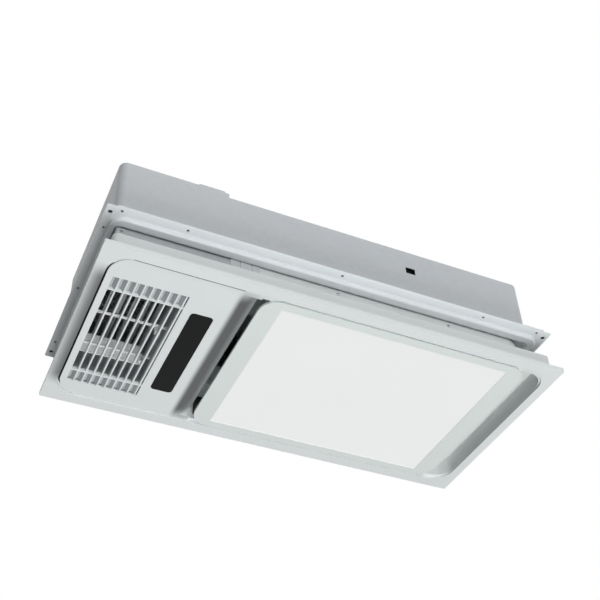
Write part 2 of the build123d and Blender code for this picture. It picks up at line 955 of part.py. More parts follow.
def bead_ring(inset, level):
    """The bead's ring between two levels, or the channel inside it."""
    outer_y, inner_y = bead_side_outer - inset, bead_side_inner + inset
    ring = slab((bead_left + inset, bead_right - inset), (-outer_y, outer_y), level, bead_corner - inset)
    return ring - slab(
        (bead_left + bead_left_width - inset, bead_right - bead_right_width + inset),
        (-inner_y, inner_y), level, bead_inner_corner + inset,
    )


def frame_holes():
    """X, Y and radius of every screw hole in the flange."""
    row_y = frame_half - hole_row_inset
    end_x = (frame_left + end_hole_inset, frame_right - end_hole_inset)
    holes = [(x, y, hole_radius) for x in side_hole_x for y in (-row_y, row_y)]
    holes += [(x, y, hole_radius) for x in end_x for y in end_hole_y]
    return holes + [(x, y, corner_hole_radius) for x in end_x for y in (-corner_hole_y, corner_hole_y)]


def wall_screws():
    """Screw heads on the outer walls of the duct's skirt and the tray."""
    head_y = skirt_half_width + wall_screw_height
    places = (skirt_left + wall_screw_end,) + wall_screw_x
    return group(
        along_y(x, y, wall_screw_z, wall_screw_radius)
        for x in places for y in ((-head_y, -skirt_half_width), (skirt_half_width, head_y))
    )


def housing_shell():
    """Sheet housing on the mounting frame, open below: roofs, flat walls and corners."""
    shell = housing_body(0) - housing_body(sheet)
    near = (-housing_half_width - 1, -shell_y + 1)
    shell -= block(
        (wire_slot_x - wire_slot[0] / 2, wire_slot_x + wire_slot[0] / 2), near,
        (wire_slot_z - wire_slot[1] / 2, wire_slot_z + wire_slot[1] / 2),
    )
    shell -= along_y(collar_x, (shell_y - 1, housing_half_width + 1), collar_z, exhaust_hole_radius + 1)
    shell -= along_x((shell_right - 1, housing_right + 1), gland_y, gland_z, gland_radius + running_gap)
    wire_y = -housing_half_width + cover_setback + cover_depth / 2
    shell -= upright(cover_x, wire_y, (raised_inside - 1, raised_top + 1), wire_hole_radius)
    return group(shell & block(*zone) for zone in housing_zones())


def housing_body(inset):
    """The housing's outer or inner form: a long box and its raised left part."""
    x = (housing_left + inset, housing_right - inset)
    y = (-housing_half_width + inset, housing_half_width - inset)
    top = housing_top - inset
    low = slab(x, y, (frame_top, top), housing_corner - inset)
    raised = slab(x, y, (frame_top, top + roof_step), housing_corner - inset)
    raised &= block((housing_left, roof_step_x - inset), y, (frame_top, raised_top))
    raised = fillet(level_edges(raised, top + roof_step), roof_step_round - inset)
    return fillet(level_edges(low, top), housing_round - inset) + raised


def housing_zones():
    """Spans of the roofs, walls and corners that the housing is welded from."""
    low, high = housing_top - housing_round, raised_top - roof_step_round
    start, end = housing_left + housing_corner, housing_right - housing_corner
    side = housing_half_width - housing_corner
    far = (shell_y, housing_half_width)
    walls = [((start, roof_step_x), high), ((roof_step_x, collar_x), low), ((collar_x, end), low)]
    zones = []
    for x, top in walls:
        zones.append((x, (-housing_half_width, -shell_y), (frame_top, top)))
        zones.append((x, far, (frame_top, collar_z)))
        zones.append((x, far, (collar_z, top)))
    zones.append(((housing_left, shell_left), (-side, side), (frame_top, high)))
    zones.append(((shell_right, housing_right), (-side, side), (frame_top, low)))
    for y in ((-housing_half_width, -side), (side, housing_half_width)):
        zones.append(((housing_left, start), y, (frame_top, high)))
        zones.append(((end, housing_right), y, (frame_top, low)))
    zones.append(((start, roof_step_x), (-shell_y, shell_y), (low, high)))
    zones.append(((housing_left, roof_step_x), (-half_w, half_w), (high, raised_top)))
    zones.append(((roof_step_x, housing_right), (-half_w, half_w), (low, raised_top)))
    return zones


def junction_cover():
    """Raised cover over the wire hole in the housing's top."""
    x = (cover_x - cover_length / 2, cover_x + cover_length / 2)
    y = (-housing_half_width + cover_setback, -housing_half_width + cover_setback + cover_depth)
    level = (raised_top, raised_top + cover_height)
    cover = slab(x, y, level, cover_corner)
    cover = fillet(level_edges(cover, level[1]), cover_round)
    wall = cover_wall
    return cover - slab(
        (x[0] + wall, x[1] - wall), (y[0] + wall, y[1] - wall), (level[0], level[1] - wall),
        cover_corner - wall,
    )


def cover_screw_places():
    """Y of the two screws on the junction cover."""
    middle = -housing_half_width + cover_setback + cover_depth / 2
    return [middle + side * cover_screw_reach for side in (-1, 1)]


# Fan


def arc_points(centre, radius, start, end):
    """An arc about a centre, given in degrees."""
    points = [
        (centre[0] + radius * cos(radians(a)), centre[1] + radius * sin(radians(a)))
        for a in (start, (start + end) / 2, end)
    ]
    return ThreePointArc(*points)


def scroll_face():
    """Plan of the scroll: four arcs that widen by one step a quarter turn."""
    half = scroll_step / 2
    centres = [(half, half), (half, -half), (-half, -half), (-half, half)]
    angles = [(tongue_angle, 90), (90, 0), (0, -90), (-90, -180)]
    edges = []
    for index, (centre, span) in enumerate(zip(centres, angles)):
        radius = impeller_radius + scroll_gap + index * scroll_step
        edges.append(arc_points((fan_x + centre[0], fan_y + centre[1]), radius, *span))
    edges.append(Line(edges[-1] @ 1, edges[0] @ 0))
    return make_face(edges)


def tongue_point():
    """Where the scroll begins, beside the chamber."""
    radius = impeller_radius + scroll_gap
    return (
        fan_x + scroll_step / 2 + radius * cos(radians(tongue_angle)),
        fan_y + scroll_step / 2 + radius * sin(radians(tongue_angle)),
    )


def chamber_face():
    """Plan of the chamber between the scroll, the heater window and the exhaust."""
    return make_face(Polyline(
        (chamber_x, chamber_near_y), (chamber_x, chamber_far_y), (chamber_right_x, chamber_far_y),
        tongue_point(), (fan_x - impeller_radius - scroll_gap, chamber_near_y), close=True,
    ))


def casing_zone(margin):
    """Plan of the tall part of the casing over the chamber."""
    x = (chamber_x - margin, chamber_right_x + margin)
    y = (chamber_near_y - margin, chamber_far_y + margin)
    return Pos((x[0] + x[1]) / 2, (y[0] + y[1]) / 2) * Rectangle(x[1] - x[0], y[1] - y[0])


def rise(face, level):
    """A plan pulled up between two levels."""
    return extrude(Pos(0, 0, level[0]) * face, amount=level[1] - level[0])


def volute_casing():
    """Scroll and changeover chamber, open at the fan deck."""
    inside = scroll_face() + chamber_face()
    outside = offset(inside, moulded_wall, kind=Kind.INTERSECTION)
    casing = rise(outside, (deck_top, fan_roof_top))
    casing = casing + rise(outside & casing_zone(moulded_wall), (fan_roof, chamber_roof_top))
    casing -= rise(inside, (deck_top, fan_roof))
    casing -= rise(inside & casing_zone(0), (deck_top, chamber_top))
    casing -= upright(fan_x, fan_y, (fan_roof - 1, fan_roof_top + 1), motor_radius + motor_hole_gap)
    casing -= block((baffle_x - 1, chamber_x + 1), *window_spans())
    casing -= along_y(
        collar_x, (chamber_far_y - 1, chamber_far_y + moulded_wall + 1), collar_z, exhaust_hole_radius
    )
    return casing - upright(
        hinge_x, hinge_y, (chamber_top - 1, chamber_roof_top + 1), flap_bush_radius() + running_gap
    )


def window_spans():
    """Y and Z spans of the window from the chamber to the heater."""
    y = (hinge_y - flap_length + window_side_margin, hinge_y - window_side_margin)
    return y, (deck_top + window_end_margin, chamber_top - window_end_margin)


def flap_bush_radius():
    """Outer radius of the flap's bushes."""
    return flap_shaft_radius + running_gap + flap_bush_wall


def fan_deck():
    """Plate under the fan and the controls, with the inlet ring."""
    level = (deck_bottom, deck_top)
    y = (-shell_y + seat_gap, shell_y - seat_gap)
    plate = slab((housing_left, shell_right - seat_gap), y, level, housing_corner - sheet)
    plate &= block((deck_left, housing_right), y, level)
    ring_top = deck_top + inlet_lip_height
    plate = plate + upright(fan_x, fan_y, (deck_bottom, ring_top), inlet_radius + moulded_wall)
    plate -= upright(fan_x, fan_y, (deck_bottom - 1, ring_top + 1), inlet_radius)
    hole_radius = flap_bush_radius() + running_gap
    return plate - upright(hinge_x, hinge_y, (deck_bottom - 1, deck_top + 1), hole_radius)


def baffle_plate():
    """Sheet between the heater side and the fan side, with the heater window."""
    half_y = shell_y - seat_gap
    sheet_plate = block((deck_left, baffle_x), (-half_y, half_y), (deck_top, raised_inside))
    for y in ((-half_y, -shell_y + roof_step_round), (shell_y - roof_step_round, half_y)):
        sheet_plate -= block((deck_left, baffle_x), y, (raised_inside - roof_step_round, raised_inside))
    return sheet_plate - block((deck_left - 1, baffle_x + 1), *window_spans())


def impeller():
    """Blades between a lower ring and a dished back plate."""
    wall = impeller_ring
    rings = []
    for bottom in (impeller_bottom, impeller_top - wall):
        ring = upright(fan_x, fan_y, (bottom, bottom + wall), impeller_radius)
        rings.append(ring - upright(fan_x, fan_y, (bottom, bottom + wall), blade_inner_radius))
    rim = blade_inner_radius + dish_weld
    centre = hub_radius - dish_weld
    profile = Polygon(
        (centre, dish_floor), (dish_radius, dish_floor), (rim, impeller_top - wall),
        (rim, impeller_top), (rim - wall, impeller_top), (dish_radius - wall, dish_floor + wall),
        (centre, dish_floor + wall), align=None,
    )
    dish = Pos(fan_x, fan_y, 0) * revolve(Plane.XZ * profile, Axis.Z)
    hub = upright(fan_x, fan_y, (hub_bottom, dish_floor + wall), hub_radius)
    bore = (hub_bottom - 1, dish_floor + 2 * wall)
    back = joined([rings[1], dish, hub]) - upright(fan_x, fan_y, bore, shaft_radius + running_gap / 2)
    depth = impeller_radius - blade_inner_radius - 2 * blade_root
    height = impeller_top - impeller_bottom - 2 * wall
    blade = Pos((impeller_radius + blade_inner_radius) / 2, 0, (impeller_bottom + impeller_top) / 2) * (
        Rot(0, 0, blade_angle) * Box(depth, blade_thickness, height)
    )
    blades = [
        Pos(fan_x, fan_y, 0) * (Rot(0, 0, index * 360 / blade_count) * blade)
        for index in range(blade_count)
    ]
    return group([rings[0], back] + blades)


def impeller_nut():
    """Nut that holds the drum on the shaft."""
    nut = extrude(
        Pos(fan_x, fan_y, hub_bottom - nut_height) * RegularPolygon(nut_radius, 6), amount=nut_height
    )
    return nut - upright(
        fan_x, fan_y, (hub_bottom - nut_height - 1, hub_bottom + 1), shaft_radius + running_gap / 2
    )


def motor_shaft():
    """Shaft through the motor to the drum."""
    return upright(fan_x, fan_y, (hub_bottom - nut_height - 1, motor_top + shaft_tail), shaft_radius)


def motor_rotor():
    """Rotor core on the shaft."""
    level = (stator_bottom - 1, stator_top + 1)
    core = upright(fan_x, fan_y, level, stator_inner - rotor_gap)
    return core - upright(fan_x, fan_y, (level[0] - 1, level[1] + 1), shaft_radius + running_gap / 2)


def motor_can():
    """Motor body with its flange and the lower bearing seat."""
    level = (motor_bottom, motor_top)
    can = upright(fan_x, fan_y, level, motor_radius)
    can = can + upright(
        fan_x, fan_y, (motor_flange_bottom, motor_flange_bottom + motor_wall), motor_flange_radius
    )
    can -= upright(fan_x, fan_y, (motor_bottom + motor_wall, motor_top + 1), motor_radius - motor_wall)
    seat_level = (motor_bottom, motor_bottom + motor_wall + bearing_length)
    can = can + upright(fan_x, fan_y, seat_level, bearing_radius + bearing_wall)
    can -= upright(
        fan_x, fan_y, (motor_bottom + motor_wall, motor_top), bearing_radius + running_gap
    )
    can -= upright(fan_x, fan_y, (motor_bottom - 1, motor_top), shaft_radius + 1)
    hole_level = (motor_flange_bottom - 1, motor_flange_bottom + motor_wall + 1)
    for x, y in mount_places():
        can -= upright(x, y, hole_level, motor_screw_radius + running_gap)
    return can


def motor_end_plate():
    """Top plate of the motor with the upper bearing seat."""
    plate = upright(fan_x, fan_y, (motor_top, motor_top + motor_wall), motor_radius)
    plate = plate + upright(
        fan_x, fan_y, (motor_top - bearing_length, motor_top), bearing_radius + bearing_wall
    )
    plate -= upright(fan_x, fan_y, (motor_top - bearing_length - 1, motor_top), bearing_radius + running_gap)
    return plate - upright(fan_x, fan_y, (motor_top - 1, motor_top + motor_wall + 1), shaft_radius + 1)


def motor_bearings():
    """Sleeve bearings at both ends of the motor."""
    shapes = []
    for bottom in (motor_bottom + motor_wall, motor_top - bearing_length):
        sleeve = upright(fan_x, fan_y, (bottom, bottom + bearing_length), bearing_radius)
        shapes.append(sleeve - upright(
            fan_x, fan_y, (bottom - 1, bottom + bearing_length + 1), shaft_radius + running_gap
        ))
    return group(shapes)


def stator_core():
    """Laminated ring in the motor body."""
    core = upright(fan_x, fan_y, (stator_bottom, stator_top), motor_radius - motor_wall - running_gap)
    return core - upright(fan_x, fan_y, (stator_bottom - 1, stator_top + 1), stator_inner)


def stator_windings():
    """Copper windings on both ends of the core."""
    shapes = []
    for bottom in (stator_bottom - winding_height, stator_top):
        level = (bottom, bottom + winding_height)
        ring = upright(fan_x, fan_y, level, motor_radius - 2 * motor_wall)
        shapes.append(ring - upright(fan_x, fan_y, (bottom - 1, level[1] + 1), stator_inner + 1))
    return group(shapes)


def mount_places():
    """Centres of the motor's rubber mounts."""
    return [
        (
            fan_x + mount_circle * cos(radians(90 + index * 360 / mount_count)),
            fan_y + mount_circle * sin(radians(90 + index * 360 / mount_count)),
        )
        for index in range(mount_count)
    ]


def motor_mounts():
    """Rubber mounts between the casing's roof and the motor flange."""
    shapes = []
    for x, y in mount_places():
        mount = upright(x, y, (fan_roof_top, motor_flange_bottom), mount_radius)
        shapes.append(mount - upright(
            x, y, (fan_roof_top - 1, motor_flange_bottom + 1), motor_screw_radius + running_gap
        ))
    return group(shapes)


def motor_screws():
    """Screws through the flange and the mounts, down to the casing's roof."""
    top = motor_flange_bottom + motor_wall
    return group(
        joined([
            upright(x, y, (fan_roof_top, top), motor_screw_radius),
            upright(x, y, (top, top + screw_head_height), screw_head_radius),
        ])
        for x, y in mount_places()
    )


# Changeover flap


def changeover_flap():
    """Plate on an upright shaft that closes the exhaust or the heater window."""
    level = (deck_top + flap_end_gap, chamber_top - flap_end_gap)
    plate = block(
        (hinge_x, hinge_x + flap_length), (hinge_y - flap_thickness / 2, hinge_y + flap_thickness / 2), level
    )
    shaft = upright(
        hinge_x, hinge_y, (deck_bottom - changeover_motor_bore, chamber_roof_top), flap_shaft_radius
    )
    return plate + shaft


def flap_seals():
    """Foam frames on both faces of the flap, round the exhaust hole and the window."""
    low = deck_top + flap_end_gap + flap_seal_inset
    high = chamber_top - flap_end_gap - flap_seal_inset
    x = (hinge_x + flap_seal_start, hinge_x + flap_length - flap_seal_inset)
    far = (hinge_y + flap_thickness / 2, chamber_far_y - seat_gap)
    near_depth = hinge_x - flap_thickness / 2 - chamber_x - seat_gap
    near = (hinge_y - flap_thickness / 2 - near_depth, hinge_y - flap_thickness / 2)
    band = flap_seal_band
    shapes = []
    for y in (far, near):
        outer = block(x, y, (low, high))
        shapes.append(outer - block((x[0] + band, x[1] - band), y, (low + band, high - band)))
    return group(shapes)


def flap_bushes():
    """Bushes of the flap's shaft in the deck and the casing's roof."""
    shapes = []
    for level in ((deck_bottom, deck_top), (chamber_top, chamber_roof_top)):
        bush = upright(hinge_x, hinge_y, level, flap_bush_radius())
        shapes.append(bush - upright(
            hinge_x, hinge_y, (level[0] - 1, level[1] + 1), flap_shaft_radius + running_gap
        ))
    return group(shapes)


def changeover_motor():
    """Small geared motor under the deck that turns the flap."""
    x, y = changeover_motor_place()
    level = (deck_bottom - changeover_motor_height, deck_bottom)
    body = upright(x, y, level, changeover_motor_radius)
    return body - upright(
        hinge_x, hinge_y, (deck_bottom - changeover_motor_bore - seat_gap, deck_bottom + 1),
        flap_shaft_radius + running_gap,
    )


# Exhaust


def exhaust_collar():
    """Duct collar with a base plate, a seat for the damper and pin holes."""
    x = (collar_x - collar_flange_half_width, collar_x + collar_flange_half_width)
    z = (collar_z - collar_flange_half_height, collar_z + collar_flange_half_height)
    base = block(x, (housing_half_width, collar_face), z)
    tube = along_y(collar_x, (housing_half_width, collar_end), collar_z, collar_radius)
    bore = collar_radius - collar_wall
    collar = base + tube
    collar -= along_y(collar_x, (collar_face, collar_end + 1), collar_z, bore)
    collar -= along_y(collar_x, (housing_half_width - 1, collar_face + 1), collar_z, exhaust_hole_radius + 1)
    seat_end = damper_hinge_y - damper_thickness / 2 - seat_gap
    seat = along_y(collar_x, (seat_end - damper_seat, seat_end), collar_z, bore + 0.5)
    seat -= along_y(collar_x, (seat_end - damper_seat - 1, seat_end + 1), collar_z, bore - damper_seat_width)
    seat &= block(x, (housing_half_width, collar_end), (z[0], damper_hinge_z - damper_knuckle_radius * 2))
    collar = collar + seat
    pin_reach = collar_radius + 1
    collar -= along_x(
        (collar_x - pin_reach, collar_x + pin_reach), damper_hinge_y, damper_hinge_z,
        damper_pin_radius + running_gap,
    )
    for side_x, side_z in collar_screw_places():
        collar -= along_y(
            side_x, (housing_half_width - 1, collar_face + 1), side_z, collar_screw_radius + running_gap
        )
    return collar


def collar_screw_places():
    """X and Z of the collar's four screws."""
    reach_x = collar_flange_half_width - collar_screw_inset
    reach_z = collar_flange_half_height - collar_screw_inset
    return [(collar_x + i * reach_x, collar_z + j * reach_z) for i in (-1, 1) for j in (-1, 1)]


def housing_screws():
    """Screws of the collar's base plate and of the junction cover."""
    shapes = [
        joined([
            along_y(x, (housing_half_width, collar_face), z, collar_screw_radius),
            along_y(x, (collar_face, collar_face + screw_head_height), z, screw_head_radius),
        ])
        for x, z in collar_screw_places()
    ]
    top = raised_top + cover_height
    shapes += [
        upright(cover_x, y, (top, top + screw_head_height), screw_head_radius) for y in cover_screw_places()
    ]
    return group(shapes)


def damper_pin():
    """Pin across the collar near its top."""
    half = sqrt(collar_radius ** 2 - (damper_hinge_rise + damper_pin_radius) ** 2)
    return along_x((collar_x - half, collar_x + half), damper_hinge_y, damper_hinge_z, damper_pin_radius)


def damper_flap():
    """Disc that hangs from the pin and keeps air from coming back."""
    y = (damper_hinge_y - damper_thickness / 2, damper_hinge_y + damper_thickness / 2)
    disc = along_y(collar_x, y, collar_z, damper_radius)
    shoulder = damper_hinge_z - damper_shoulder_drop
    keep = block((collar_x - half_w, collar_x + half_w), y, (0, shoulder)) + block(
        (collar_x - damper_shoulder_width / 2, collar_x + damper_shoulder_width / 2), y,
        (shoulder, damper_hinge_z - damper_pin_radius),
    )
    half = damper_knuckle_length / 2
    knuckle_x = (collar_x - half, collar_x + half)
    knuckle = along_x(knuckle_x, damper_hinge_y, damper_hinge_z, damper_knuckle_radius)
    neck = block(knuckle_x, y, (shoulder, damper_hinge_z))
    flap = joined([disc & keep, neck, knuckle])
    return flap - along_x(
        (collar_x - half - 1, collar_x + half + 1), damper_hinge_y, damper_hinge_z,
        damper_pin_radius + running_gap,
    )


# Heater


def heater_core_x():
    """X span of the heater's air passage."""
    return duct_left, duct_right


def heater_frame():
    """Heat-proof frame of the heater on the frame's lip and the duct."""
    level = (deck_bottom, heater_top)
    frame = block(heater_x, (-heater_y, heater_y), level) - block(heater_core_x(), duct_y, level)
    cut = housing_corner / 2
    for y in ((-heater_y, -heater_y + cut), (heater_y - cut, heater_y)):
        frame -= block((heater_x[0], heater_x[0] + cut), y, level)
    return frame


def bar_centres():
    """X of each heating bar."""
    low, high = heater_core_x()
    pitch = (high - low) / heater_bar_count
    return [low + pitch * (index + 0.5) for index in range(heater_bar_count)]


def heater_level():
    """Lower and upper side of the heating bars."""
    middle = (deck_bottom + heater_top) / 2
    return middle - heater_bar_height / 2, middle + heater_bar_height / 2


def heater_bars():
    """Heating bars that run across the air passage."""
    return group(
        block((x - heater_bar_width / 2, x + heater_bar_width / 2), duct_y, heater_level())
        for x in bar_centres()
    )


def heater_fins():
    """Folded fin strips between the heating bars."""
    bars = bar_centres()
    shapes = []
    for low, high in zip(bars[:-1], bars[1:]):
        reach = heater_bar_width / 2 + fin_side_gap
        x = (low + reach, high - reach - fin_sheet)
        count = int((duct_y[1] - duct_y[0] - fin_pitch) // fin_pitch)
        start = (duct_y[0] + duct_y[1] - count * fin_pitch) / 2
        path = [(x[index % 2], start + index * fin_pitch) for index in range(count + 1)]
        back = [(px + fin_sheet, py) for px, py in reversed(path)]
        shapes.append(rise(make_face(Polyline(*path, *back, close=True)), heater_level()))
    return group(shapes)


def heater_terminals():
    """Terminal blades on the heater frame's top rail."""
    thickness, width, height = terminal_size
    middle = (duct_y[0] - heater_y) / 2
    first = (heater_x[0] + heater_x[1]) / 2 - terminal_pitch * (terminal_count - 1) / 2
    return group(
        block(
            (first + i * terminal_pitch - thickness / 2, first + i * terminal_pitch + thickness / 2),
            (middle - width / 2, middle + width / 2), (heater_top, heater_top + height),
        )
        for i in range(terminal_count)
    )


def thermal_cutout():
    """Thermal cut-out on the heater frame's far rail."""
    middle = (duct_y[1] + heater_y) / 2
    level = (heater_top, heater_top + cutout_height)
    return upright((heater_x[0] + heater_x[1]) / 2, middle, level, cutout_radius)


# Guide vanes


def vane(pivot, tilt, right_reach):
    """One guide vane with its shaft ends, crank and pin."""
    blade = Pos(0, *pivot) * (Rot(tilt, 0, 0) * Pos((vane_left + vane_right) / 2, 0, 0) * Box(
        vane_right - vane_left, vane_thickness, vane_chord
    ))
    shaft = along_x((duct_left - moulded_wall, right_reach), pivot[0], pivot[1], vane_shaft_radius)
    pin_y, pin_z = pivot[0] + crank_offset[0], pivot[1] + crank_offset[1]
    web_x = (vane_right - 1, vane_right + crank_thickness)
    boss = along_x(web_x, pivot[0], pivot[1], crank_radius)
    tip = along_x(web_x, pin_y, pin_z, crank_radius)
    arm = Pos((web_x[0] + web_x[1]) / 2, (pivot[0] + pin_y) / 2, (pivot[1] + pin_z) / 2) * (
        Rot(crank_angle, 0, 0) * Box(web_x[1] - web_x[0], crank_length, crank_web)
    )
    pin = along_x((vane_right, link_left + link_thickness + seat_gap), pin_y, pin_z, link_pin_radius)
    return joined([blade, shaft, boss, tip, arm, pin])


def guide_vane_near():
    """Near vane, driven by the vane motor."""
    return vane(vane_near_pivot, vane_near_tilt, duct_right + moulded_wall + vane_motor_bore)


def guide_vane_far():
    """Far vane, driven through the link."""
    return vane(vane_far_pivot, 0, duct_right + moulded_wall)


def vane_link():
    """Link between the pins of the two vanes."""
    x = (link_left, link_left + link_thickness)
    ends = [
        (y + crank_offset[0], z + crank_offset[1]) for y, z in (vane_near_pivot, vane_far_pivot)
    ]
    span = (ends[1][0] - ends[0][0], ends[1][1] - ends[0][1])
    length = hypot(*span)
    turn = degrees(acos(span[0] / length))
    bar = Pos((x[0] + x[1]) / 2, (ends[0][0] + ends[1][0]) / 2, (ends[0][1] + ends[1][1]) / 2) * (
        Rot(turn, 0, 0) * Box(link_thickness, length, link_width)
    )
    link = joined([bar] + [along_x(x, y, z, crank_radius) for y, z in ends])
    wide = (x[0] - 1, x[1] + 1)
    link -= along_x(wide, ends[0][0], ends[0][1], link_pin_radius + running_gap)
    return link - along_x(wide, ends[1][0], ends[1][1], link_pin_radius + open_pivot_gap)


def vane_bushes():
    """Bushes of the vane shafts in the duct's walls."""
    shapes = []
    for pivot in (vane_near_pivot, vane_far_pivot):
        for left in (duct_left - moulded_wall, duct_right):
            x = (left, left + moulded_wall)
            bush = along_x(x, pivot[0], pivot[1], vane_bush_radius)
            shapes.append(bush - along_x(
                (x[0] - 1, x[1] + 1), pivot[0], pivot[1], vane_shaft_radius + running_gap
            ))
    return group(shapes)


def vane_motor():
    """Small geared motor on the duct's outer wall."""
    face = duct_right + moulded_wall
    y, z = vane_near_pivot
    body = along_x((face, face + vane_motor_length), y, z, vane_motor_radius)
    bore = (face - 1, face + vane_motor_bore + seat_gap)
    return body - along_x(bore, y, z, vane_shaft_radius + running_gap)


# Controls


def control_box():
    """Plastic box for the control board, closed by the housing's roof."""
    level = (control_bottom, roof_inside)
    box = block(control_x, control_y, level)
    box -= block(
        (control_x[0] + moulded_wall, control_x[1] - moulded_wall),
        (control_y[0] + moulded_wall, control_y[1] - moulded_wall), level,
    )
    for x, y in control_posts():
        box = box + block(
            tuple(sorted((x, control_x[0] if x < sum(control_x) / 2 else control_x[1]))),
            tuple(sorted((y, control_y[0] if y < sum(control_y) / 2 else control_y[1]))),
            (control_bottom, control_bottom + control_board_height),
        )
    return box


def control_posts():
    """Inner corners of the board's four rests."""
    x = (control_x[0] + control_post_inset, control_x[1] - control_post_inset)
    y = (control_y[0] + control_post_inset, control_y[1] - control_post_inset)
    return [(i, j) for i in x for j in y]


def control_lid():
    """Lid under the control box."""
    return block(control_x, control_y, (control_bottom - moulded_wall, control_bottom))


def board_bottom():
    """Underside of the control board on its rests."""
    return control_bottom + control_board_height


def control_board():
    """Power and relay board."""
    gap = moulded_wall + seat_gap
    return block(
        (control_x[0] + gap, control_x[1] - gap), (control_y[0] + gap, control_y[1] - gap),
        (board_bottom(), board_bottom() + board_thickness),
    )


def board_parts():
    """Relays and a transformer on the board."""
    top = board_bottom() + board_thickness
    near = control_y[0] + relay_inset[1]
    shapes = []
    for index in range(relay_count):
        left = control_x[0] + relay_inset[0] + index * relay_pitch
        shapes.append(block(
            (left, left + relay_size[0]), (near, near + relay_size[1]), (top, top + relay_size[2])
        ))
    right, far = control_x[1] - transformer_inset, control_y[1] - transformer_inset
    shapes.append(block(
        (right - transformer_size[0], right), (far - transformer_size[1], far),
        (top, top + transformer_size[2]),
    ))
    return group(shapes)


def run_capacitor():
    """Fan capacitor with two ears, on the fan deck."""
    length, width, height = capacitor_size
    x = (capacitor_x - length / 2, capacitor_x + length / 2)
    y = (capacitor_y - width / 2, capacitor_y + width / 2)
    body = slab(x, y, (deck_top, deck_top + height), capacitor_corner)
    ears = slab(
        (x[0] - capacitor_ear, x[1] + capacitor_ear), y,
        (deck_top, deck_top + capacitor_ear_thickness), capacitor_corner,
    )
    return body + ears


def terminal_block():
    """Mains terminal block under the roof beside the gland, with its clamp holes."""
    length, width, height = terminal_block_size
    bottom = roof_inside - height
    body = block(
        (terminal_block_x - length / 2, terminal_block_x + length / 2),
        (terminal_block_y - width / 2, terminal_block_y + width / 2), (bottom, roof_inside),
    )
    pitch = length / terminal_ways
    for index in range(terminal_ways):
        for side in (-1, 1):
            body -= upright(
                terminal_block_x - length / 2 + pitch * (index + 0.5), terminal_block_y + side * width / 4,
                (bottom - 1, bottom + terminal_hole_depth), terminal_hole_radius,
            )
    return body


def cable_gland():
    """Cable inlet in the housing's right wall."""
    wall = (shell_right, housing_right)
    body = along_x((wall[0] - gland_nut_length, wall[1] + gland_nut_length), gland_y, gland_z, gland_radius)
    inner = along_x((wall[0] - gland_nut_length, wall[0]), gland_y, gland_z, gland_nut_radius)
    outer = along_x((wall[1], wall[1] + gland_nut_length), gland_y, gland_z, gland_nut_radius)
    dome_x = (wall[1] + gland_nut_length, wall[1] + gland_nut_length + gland_dome_length)
    dome = along_x(dome_x, gland_y, gland_z, gland_radius)
    gland = joined([body, inner, outer, dome])
    return gland - along_x((wall[0] - 10, dome_x[1] + 1), gland_y, gland_z, gland_bore)


NODES = {
    "panel_frame": panel_frame,
    "grille_plate": grille_plate,
    "display_window": display_window,
    "display_board": display_board,
    "touch_keys": touch_keys,
    "digit_display": digit_display,
    "outlet_duct": outlet_duct,
    "intake_tray": intake_tray,
    "duct_gasket": duct_gasket,
    "panel_latches": panel_latches,
    "light_frame": light_frame,
    "light_diffuser": light_diffuser,
    "led_strips": led_strips,
    "led_lenses": led_lenses,
    "light_back_plate": light_back_plate,
    "light_hangers": light_hangers,
    "led_driver": led_driver,
    "mounting_frame": mounting_frame,
    "wall_screws": wall_screws,
    "housing_shell": housing_shell,
    "junction_cover": junction_cover,
    "volute_casing": volute_casing,
    "fan_deck": fan_deck,
    "baffle_plate": baffle_plate,
    "impeller": impeller,
    "impeller_nut": impeller_nut,
    "motor_shaft": motor_shaft,
    "motor_rotor": motor_rotor,
    "motor_can": motor_can,
    "motor_end_plate": motor_end_plate,
    "motor_bearings": motor_bearings,
    "stator_core": stator_core,
    "stator_windings": stator_windings,
    "motor_mounts": motor_mounts,
    "motor_screws": motor_screws,
    "changeover_flap": changeover_flap,
    "flap_seals": flap_seals,
    "flap_bushes": flap_bushes,
    "changeover_motor": changeover_motor,
    "exhaust_collar": exhaust_collar,
    "housing_screws": housing_screws,
    "damper_pin": damper_pin,
    "damper_flap": damper_flap,
    "heater_frame": heater_frame,
    "heater_bars": heater_bars,
    "heater_fins": heater_fins,
    "heater_terminals": heater_terminals,
    "thermal_cutout": thermal_cutout,
    "guide_vane_near": guide_vane_near,
    "guide_vane_far": guide_vane_far,
    "vane_link": vane_link,
    "vane_bushes": vane_bushes,
    "vane_motor": vane_motor,
    "control_box": control_box,
    "control_lid": control_lid,
    "control_board": control_board,
    "board_parts": board_parts,
    "run_capacitor": run_capacitor,
    "terminal_block": terminal_block,
    "cable_gland": cable_gland,
}

os.makedirs("parts", exist_ok=True)
for name, make in NODES.items():
    export_step(make(), f"parts/{name}.step")
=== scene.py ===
"""Ceiling bathroom heater: face panel, flat light, air outlet, fan housing and exhaust spigot."""

import logging
from dataclasses import dataclass
from enum import Enum
from math import cos, pi, radians, sin
from typing import ClassVar

import bmesh
import bpy
from mathutils import Matrix, Vector

